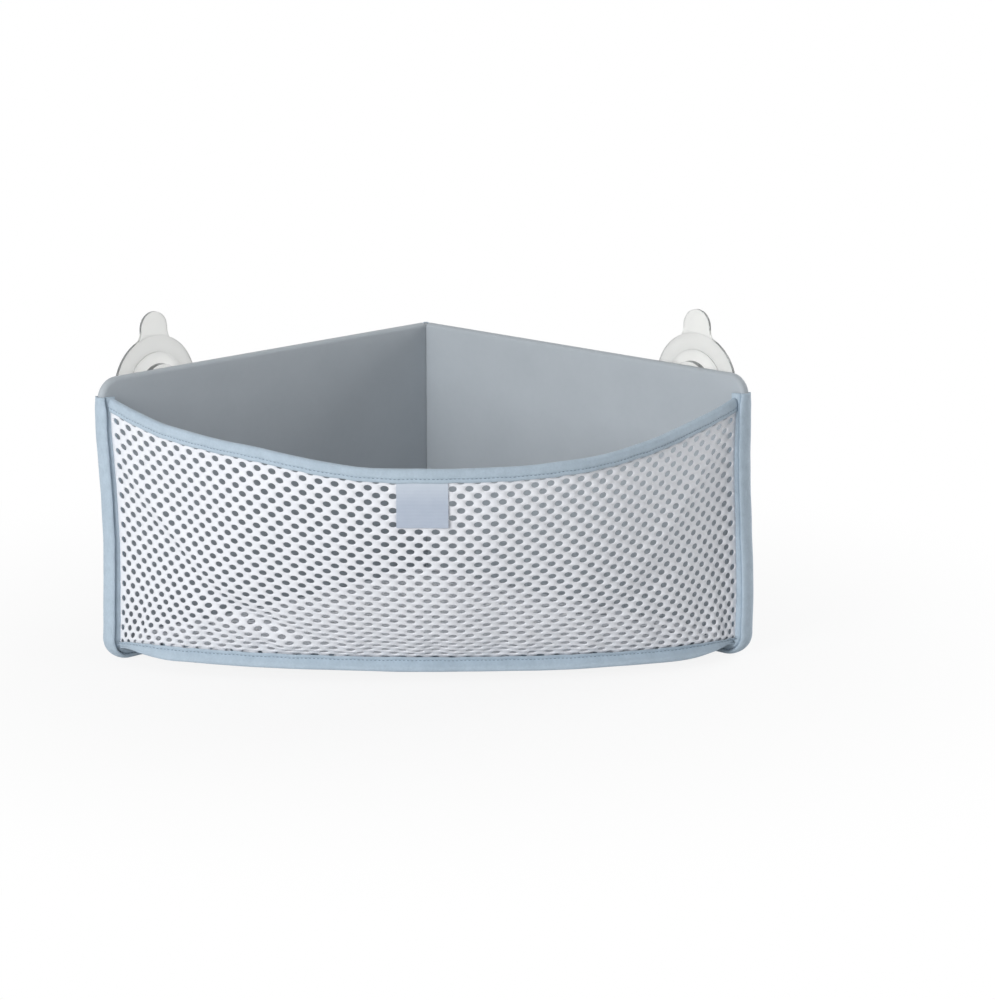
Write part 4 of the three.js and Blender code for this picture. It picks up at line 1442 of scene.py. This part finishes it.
class ORGANIZER_OT_base_mesh(bpy.types.Operator):
    """Cut the bottom of the bag from mesh cloth, to the panels behind and the seam in front"""

    bl_idname = "organizer.base_mesh"
    bl_label = "Base Mesh"

    samples = 400  # places across at which the base's depth is measured

    def execute(self, context):
        settings = context.scene.organizer
        sizes, base = settings.wall, settings.base
        wall = Wall(settings)
        seam = wall.below_seam(wall.places, 0.0, -base.front_gap)
        rear_line = CORNER_Y - 2 * base.rear_gap * HALF_ROOT

        def front_y(x):
            return np.interp(x, seam[:, 0], seam[:, 1])

        def front_z(x):
            return np.interp(x, seam[:, 0], seam[:, 2])

        columns = round(2 * base.half_width / sizes.hole_pitch)
        low = float(seam[:, 1].min()) - sizes.seam_tail
        rows = math.ceil((rear_line - low) / sizes.row_pitch)

        def lattice(column, row):
            side = 2 * column / (CELL_WIDE * columns) - 1
            return base.half_width * side, rear_line - row * sizes.row_pitch / CELL_HIGH

        def flat(column, row):
            x, y = lattice(column, row)
            return x, min(max(y, float(front_y(x)) - sizes.seam_tail), rear_line - abs(x))

        def place(x, y, out):
            front, rear = front_y(x), rear_line - np.abs(x)
            t = np.clip((rear - y) / (rear - front), 0, 1)
            side = np.abs(x) / base.half_width
            rear_z = base.rear_height + (front_z(x) - base.rear_height) * side**3
            z = rear_z + (front_z(x) - rear_z) * t - base.sag * np.sin(math.pi * t) ** 2
            hung = wall.hung(np.interp(x, seam[:, 0], wall.places), front - y, out - base.front_gap)
            return np.where((y < front)[:, None], hung, spots_of(x, y, z + out))

        def inside(x, y):
            return front_y(x) - sizes.seam_tail < y < rear_line - abs(x) - base.border

        def roomy(column, row):
            """Whether a whole cell lies inside the cloth's borders."""
            return all(inside(*lattice(column + x, row + y)) for x, y in CELL_EDGE)

        cloth = MeshCloth(sizes, flat, place)
        cloth.weave(columns, rows, roomy)
        obj = cloth.build("base_mesh_cloth")
        dress(obj, "bag", "mesh_cloth", "mesh", "base_mesh")
        return {"FINISHED"}


class ORGANIZER_OT_panels(bpy.types.Operator):
    """Fold the cover cloth over each panel's board, with a hole for the eyelet behind"""

    bl_idname = "organizer.panels"
    bl_label = "Panel Covers"

    corner_step = 9  # degrees between the points of a rounded corner
    edge_segments = 6
    smooth_angle = math.radians(40)
    held = (0.008, 0.03)  # from an edge, where the cloth starts to lift and where it is free
    drill_place = 1.3  # middle of the eyelet's drill, in half thicknesses of the panel
    cut_slip = 1e-7  # how near to a cut a point counts as on it

    def execute(self, context):
        settings = context.scene.organizer
        for side in SIDES:
            self.cover(settings, side)
        return {"FINISHED"}

    def outline(self, panel):
        """Points round a panel, from the bottom at the rear corner to the top there."""
        points = [(panel.near, PANEL_LOW)]
        corners = (
            (panel.bottom_radius, PANEL_LOW + panel.bottom_radius, -90),
            (panel.top_radius, PANEL_TOP - panel.top_radius, 0),
        )
        for radius, height, first in corners:
            for degrees in range(first, first + 91, self.corner_step):
                turn = math.radians(degrees)
                along = panel.far - radius + radius * math.cos(turn)
                points.append((along, height + radius * math.sin(turn)))
        points.append((panel.near, PANEL_TOP))
        return points

    def cover(self, settings, side):
        panel = settings.panel
        work = bmesh.new()
        front = work.faces.new([work.verts.new((a, -panel.half, z)) for a, z in self.outline(panel)])
        pulled = bmesh.ops.extrude_face_region(work, geom=[front])["geom"]
        moved = [part for part in pulled if isinstance(part, bmesh.types.BMVert)]
        bmesh.ops.translate(work, verts=moved, vec=(0, 2 * panel.half, 0))

        def folded(edge):
            """Whether an edge lies along the folded top or the front end."""
            a, b = edge.verts
            level = abs(a.co.y - b.co.y) < TINY
            cut_end = max(a.co.x, b.co.x) < panel.near + TINY
            cut_low = max(a.co.z, b.co.z) < PANEL_LOW + TINY
            return level and not cut_end and not cut_low

        edges = [edge for edge in work.edges if folded(edge)]
        bmesh.ops.bevel(
            work, geom=edges, offset=panel.edge_round, segments=self.edge_segments, profile=0.5,
            affect="EDGES",
        )
        self.slice(work, panel)
        open_faces = [
            face for face in work.faces
            if all(v.co.x < panel.near + TINY for v in face.verts)
            or all(v.co.z < PANEL_LOW + TINY for v in face.verts)
        ]
        bmesh.ops.delete(work, geom=open_faces, context="FACES")
        bmesh.ops.recalc_face_normals(work, faces=work.faces)
        for spot in work.verts:
            self.slacken(spot.co, panel, SIDES[side])
        layer = work.loops.layers.uv.new(CLOTH_MAP)
        for face in work.faces:
            for loop in face.loops:
                loop[layer].uv = (loop.vert.co.x, loop.vert.co.z)
        area = sum(face.calc_area() for face in work.faces)
        mesh = bpy.data.meshes.new(f"{side}_panel_cloth")
        work.to_mesh(mesh)
        work.free()
        obj = bpy.data.objects.new(mesh.name, mesh)
        bpy.context.scene.collection.objects.link(obj)
        apply_modifier(obj, "SOLIDIFY", thickness=panel.cloth, offset=-1, use_even_offset=True)
        self.punch(obj, panel)
        self.stand(obj, SIDES[side])
        select_only(obj)
        bpy.ops.object.shade_smooth_by_angle(angle=self.smooth_angle)
        dress(obj, "bag", "panel_cloth", "panel", f"{side}_panel_cover")

    def slice(self, work, panel):
        """Cuts the cover's faces into a grid."""
        for axis, low, high in (((1, 0, 0), panel.near, panel.far), ((0, 0, 1), PANEL_LOW, PANEL_TOP)):
            steps = round((high - low) / panel.grid)
            for k in range(1, steps):
                spot = Vector(axis) * (low + (high - low) * k / steps)
                geom = [*work.verts, *work.edges, *work.faces]
                bmesh.ops.bisect_plane(work, geom=geom, plane_co=spot, plane_no=axis, dist=self.cut_slip)

    def slacken(self, spot, panel, side):
        """Lifts the cloth a little off its board, away from its edges."""
        edge = min(panel.far - spot.x, PANEL_TOP - spot.z, spot.z - PANEL_LOW, spot.x - panel.near)
        free = smooth(edge, *self.held) * smooth(abs(spot.y), 0.5 * panel.half, panel.half)
        across = wander(spot.x + 0.4 * spot.z, pitch=0.11, phase=1.3 * side)
        upward = wander(spot.z - 0.3 * spot.x, pitch=0.09, phase=2.1)
        spot.y += math.copysign(panel.slack, spot.y) * 0.5 * float(free * (across + upward))

    def punch(self, obj, panel):
        """Cuts the eyelet's hole in the rear cloth alone."""
        select_only()
        place = (CUP_ALONG, self.drill_place * panel.half, CUP_HEIGHT)
        bpy.ops.mesh.primitive_cylinder_add(
            vertices=ROUND_STEPS, radius=panel.eyelet_hole, depth=2 * panel.half,
            location=place, rotation=(math.pi / 2, 0, 0),
        )
        drill = bpy.context.object
        apply_place(drill)
        apply_modifier(obj, "BOOLEAN", operation="DIFFERENCE", object=drill, solver="EXACT")
        bpy.data.objects.remove(drill)

    @staticmethod
    def stand(obj, side):
        """Turns a cover, drawn along X, into its place beside the corner."""
        placed = panel_place(*points_in(obj).T, side)
        obj.data.vertices.foreach_set("co", placed.astype(np.float32).ravel())
        if side < 0:
            obj.data.flip_normals()
        obj.data.update()


class ORGANIZER_OT_tapes(bpy.types.Operator):
    """Fold the binding tape over the rim, the bottom seam, the panels' edges and the rear corner"""

    bl_idname = "organizer.tapes"
    bl_label = "Binding Tapes"

    seam_steps = 60  # sections of the seam allowance at the rear corner
    bound = {
        "rim_tape": ("rim_binding", ["front_mesh_cloth"]),
        "front_bottom_tape": ("front_bottom_binding", ["front_mesh_cloth", "base_mesh_cloth"]),
        "left_panel_tape": ("left_panel_binding", ["left_panel_cloth"]),
        "right_panel_tape": ("right_panel_binding", ["right_panel_cloth"]),
        "rear_corner_tape": ("rear_corner_binding", ["left_panel_cloth", "right_panel_cloth"]),
    }

    def execute(self, context):
        settings = context.scene.organizer
        for name, tape in all_tapes(settings, Wall(settings)).items():
            node, rests_on = self.bound[name]
            obj = tape.build(name, node)
            tape.flat_size()
        self.seam_allowance(settings)
        return {"FINISHED"}

    def seam_allowance(self, settings):
        """The joined cloth edges of the two panels, inside the rear corner's tape."""
        sizes, panel = settings.tape, settings.panel
        inner = sizes.rim_half - sizes.cloth - sizes.gap
        root = CORNER_Y - panel.near / HALF_ROOT + sizes.gap
        shoulder = panel.half * HALF_ROOT * 2 - sizes.cloth - sizes.gap
        tip = CORNER_Y + sizes.width - sizes.cloth - 3 * sizes.gap
        waist = root + 2 * shoulder - inner
        right = [(0.0, root), (shoulder, root + shoulder), (inner, waist), (inner, tip)]
        outline = np.array(right + [(-x, y) for x, y in reversed(right[1:])])
        stations = np.linspace(FIN_LOW + sizes.gap, FIN_TOP - sizes.gap, self.seam_steps)
        count = len(outline)
        run = path_length(outline)
        points = [(x, y, z) for z in stations for x, y in outline]
        flat = [(z, r) for z in stations for r in run]
        faces = tube_faces(len(stations), count)
        last = (len(stations) - 1) * count
        faces.append(list(range(count)))
        faces.append(list(range(last, last + count)))
        obj = cloth_object("rear_corner_seam", points, faces, flat)
        face_outwards(obj)
        dress(obj, "bag", "panel_cloth", "panel", "rear_corner_binding")


class ORGANIZER_OT_stitches(bpy.types.Operator):
    """Sew a row of stitches along both faces of every tape"""

    bl_idname = "organizer.stitches"
    bl_label = "Stitches"

    def execute(self, context):
        settings = context.scene.organizer
        shape, shape_faces = stitch_shape(settings.tape)
        for name, tape in all_tapes(settings, Wall(settings)).items():
            rows = []
            for side in (1, -1):
                middle, along, across, above = [part[:, None] for part in tape.stitch_frames(side)]
                x, y, z = (shape[None, :, k, None] for k in range(3))
                rows.append((middle + along * x + across * y + above * z).reshape(-1, 3))
            points = np.concatenate(rows)
            starts = range(0, len(points), len(shape))
            faces = [[start + k for k in face] for start in starts for face in shape_faces]
            obj = cloth_object(name.replace("tape", "stitches"), points, faces)
            obj.data.shade_smooth()
            face_outwards(obj)
            dress(obj, "bag", "binding_tape", "thread")
        return {"FINISHED"}


class ORGANIZER_OT_label(bpy.types.Operator):
    """Fold the plain satin label and tuck it under the rim tape"""

    bl_idname = "organizer.label"
    bl_label = "Label"

    columns = 32
    rows = 24
    fold_steps = 13
    smooth_angle = math.radians(50)
    curl = 0.35  # how much further the sides of the label stand off the mesh
    flutter = 0.2  # height of the small wave along its lower edge
    flutter_pitch = 0.02

    def execute(self, context):
        settings = context.scene.organizer
        sizes = settings.label
        wall = Wall(settings)
        first = wall.middle_place(sizes.shift) - sizes.width / 2
        height = sizes.drop - sizes.tuck
        near = settings.wall.cloth / 2 + TINY

        def place(along, distance, out):
            hang = 1 - distance / height
            side = 2 * along / sizes.width - 1
            wave = self.flutter * wander(along, self.flutter_pitch)
            stand = sizes.lift * hang**2 * (1 + self.curl * side**2 + wave)
            return wall.below_rim(first + along, sizes.drop - distance, near + stand + out)

        outer, inner = self.lines(sizes, height)
        stations = np.linspace(0, sizes.width, self.columns)
        obj = loft_fold("label_ribbon", stations, outer, inner, place)
        select_only(obj)
        bpy.ops.object.shade_smooth_by_angle(angle=self.smooth_angle)
        dress(obj, "bag", "label_satin", "satin", "label_patch")
        return {"FINISHED"}

    def lines(self, sizes, height):
        """Outer and inner line of the ribbon: down its front, round the fold and up its back."""
        least = 2 * sizes.cloth + TINY / 2
        distance = np.linspace(height, sizes.loop, self.rows)
        thick = least + (sizes.loop - TINY) * (1 - distance / height) ** 2
        turn = np.linspace(0, math.pi, self.fold_steps)
        half = thick[-1] / 2

        def line(inset):
            """The ribbon's face, or what lies inside it by a distance."""
            depth = inset + (sizes.loop - inset) * (1 - np.sin(turn))
            return np.concatenate([
                spots_of(distance, thick - inset),
                spots_of(depth, half + (half - inset) * np.cos(turn))[1:-1],
                spots_of(distance, inset)[::-1],
            ])

        return line(0.0), line(sizes.cloth)


class ORGANIZER_OT_cups(bpy.types.Operator):
    """Turn a suction cup with its release tab, and set one behind each panel"""

    bl_idname = "organizer.cups"
    bl_label = "Suction Cups"

    spin_steps = 72
    edge_segments = 3
    edge_angle = math.radians(40)
    smooth_angle = math.radians(35)

    def execute(self, context):
        cup = context.scene.organizer.cup
        model = turned("suction_cup", cup_profile(cup), self.spin_steps)
        tab = release_tab(cup)
        for part in (model, tab):
            apply_modifier(part, "BEVEL", width=cup.rounding, segments=self.edge_segments,
                           limit_method="ANGLE", angle_limit=self.edge_angle)
        apply_modifier(model, "BOOLEAN", operation="UNION", object=tab, solver="EXACT")
        bpy.data.objects.remove(tab)
        bpy.ops.object.shade_smooth_by_angle(angle=self.smooth_angle)
        apply_modifier(model, "WEIGHTED_NORMAL", keep_sharp=True)
        # marks where the cups get their painted edge shade
        edge_tint(model, cup)
        for side, sign in SIDES.items():
            mesh = model.data.copy()
            turn = Matrix.Rotation(-sign * math.pi / 4, 4, "Z")
            mesh.transform(Matrix.Translation(CUP_PLACES[side]) @ turn)
            obj = bpy.data.objects.new(f"{side}_cup_vinyl", mesh)
            context.scene.collection.objects.link(obj)
            dress(obj, f"{side}_cup", "cup_vinyl", "vinyl", f"{side}_suction_cup")
        bpy.data.objects.remove(model)
        return {"FINISHED"}


class ORGANIZER_OT_fixings(bpy.types.Operator):
    """Give the boards, eyelets and washers their finishes"""

    bl_idname = "organizer.fixings"
    bl_label = "Boards and Eyelets"

    def execute(self, context):
        wanted = {"stiffener_board": "board", "eyelet": "eyelet", "eyelet_washer": "eyelet"}
        for side in SIDES:
            for node, finish_name in wanted.items():
                paint(bpy.data.objects[f"{side}_{node}"], finish_name)
        return {"FINISHED"}


class ORGANIZER_PT_sidebar(bpy.types.Panel):
    """The organizer's sizes, colours and pieces"""

    bl_label = "Bath Toy Organizer"
    bl_idname = "ORGANIZER_PT_sidebar"
    bl_space_type = "VIEW_3D"
    bl_region_type = "UI"
    bl_category = "Organizer"

    def draw(self, context):
        settings = context.scene.organizer
        for part in settings.bl_rna.properties:
            if part.type == "POINTER" and part.identifier != "rna_type":
                box = self.layout.box()
                box.label(text=part.name)
                for prop in part.fixed_type.properties:
                    if prop.identifier not in ("rna_type", "name"):
                        box.prop(getattr(settings, part.identifier), prop.identifier)
        for operator in OPERATORS:
            self.layout.operator(operator.bl_idname)


SETTINGS = (
    PanelSettings,
    TapeSettings,
    WallSettings,
    BaseSettings,
    LabelSettings,
    CupSettings,
    ColourSettings,
    StageSettings,
    OrganizerSettings,
)
OPERATORS = (
    ORGANIZER_OT_stage,
    ORGANIZER_OT_front_mesh,
    ORGANIZER_OT_base_mesh,
    ORGANIZER_OT_panels,
    ORGANIZER_OT_tapes,
    ORGANIZER_OT_stitches,
    ORGANIZER_OT_label,
    ORGANIZER_OT_cups,
    ORGANIZER_OT_fixings,
)


def register():
    for made in (*SETTINGS, *OPERATORS, ORGANIZER_PT_sidebar):
        bpy.utils.register_class(made)
    bpy.types.Scene.organizer = bpy.props.PointerProperty(type=OrganizerSettings)


def unregister():
    del bpy.types.Scene.organizer
    for made in reversed((*SETTINGS, *OPERATORS, ORGANIZER_PT_sidebar)):
        bpy.utils.unregister_class(made)


def main():
    register()
    bpy.ops.organizer.stage()
    bpy.ops.organizer.front_mesh()
    bpy.ops.organizer.base_mesh()
    bpy.ops.organizer.panels()
    bpy.ops.organizer.tapes()
    bpy.ops.organizer.stitches()
    bpy.ops.organizer.label()
    bpy.ops.organizer.cups()
    bpy.ops.organizer.fixings()


if __name__ == "__main__":
    main()
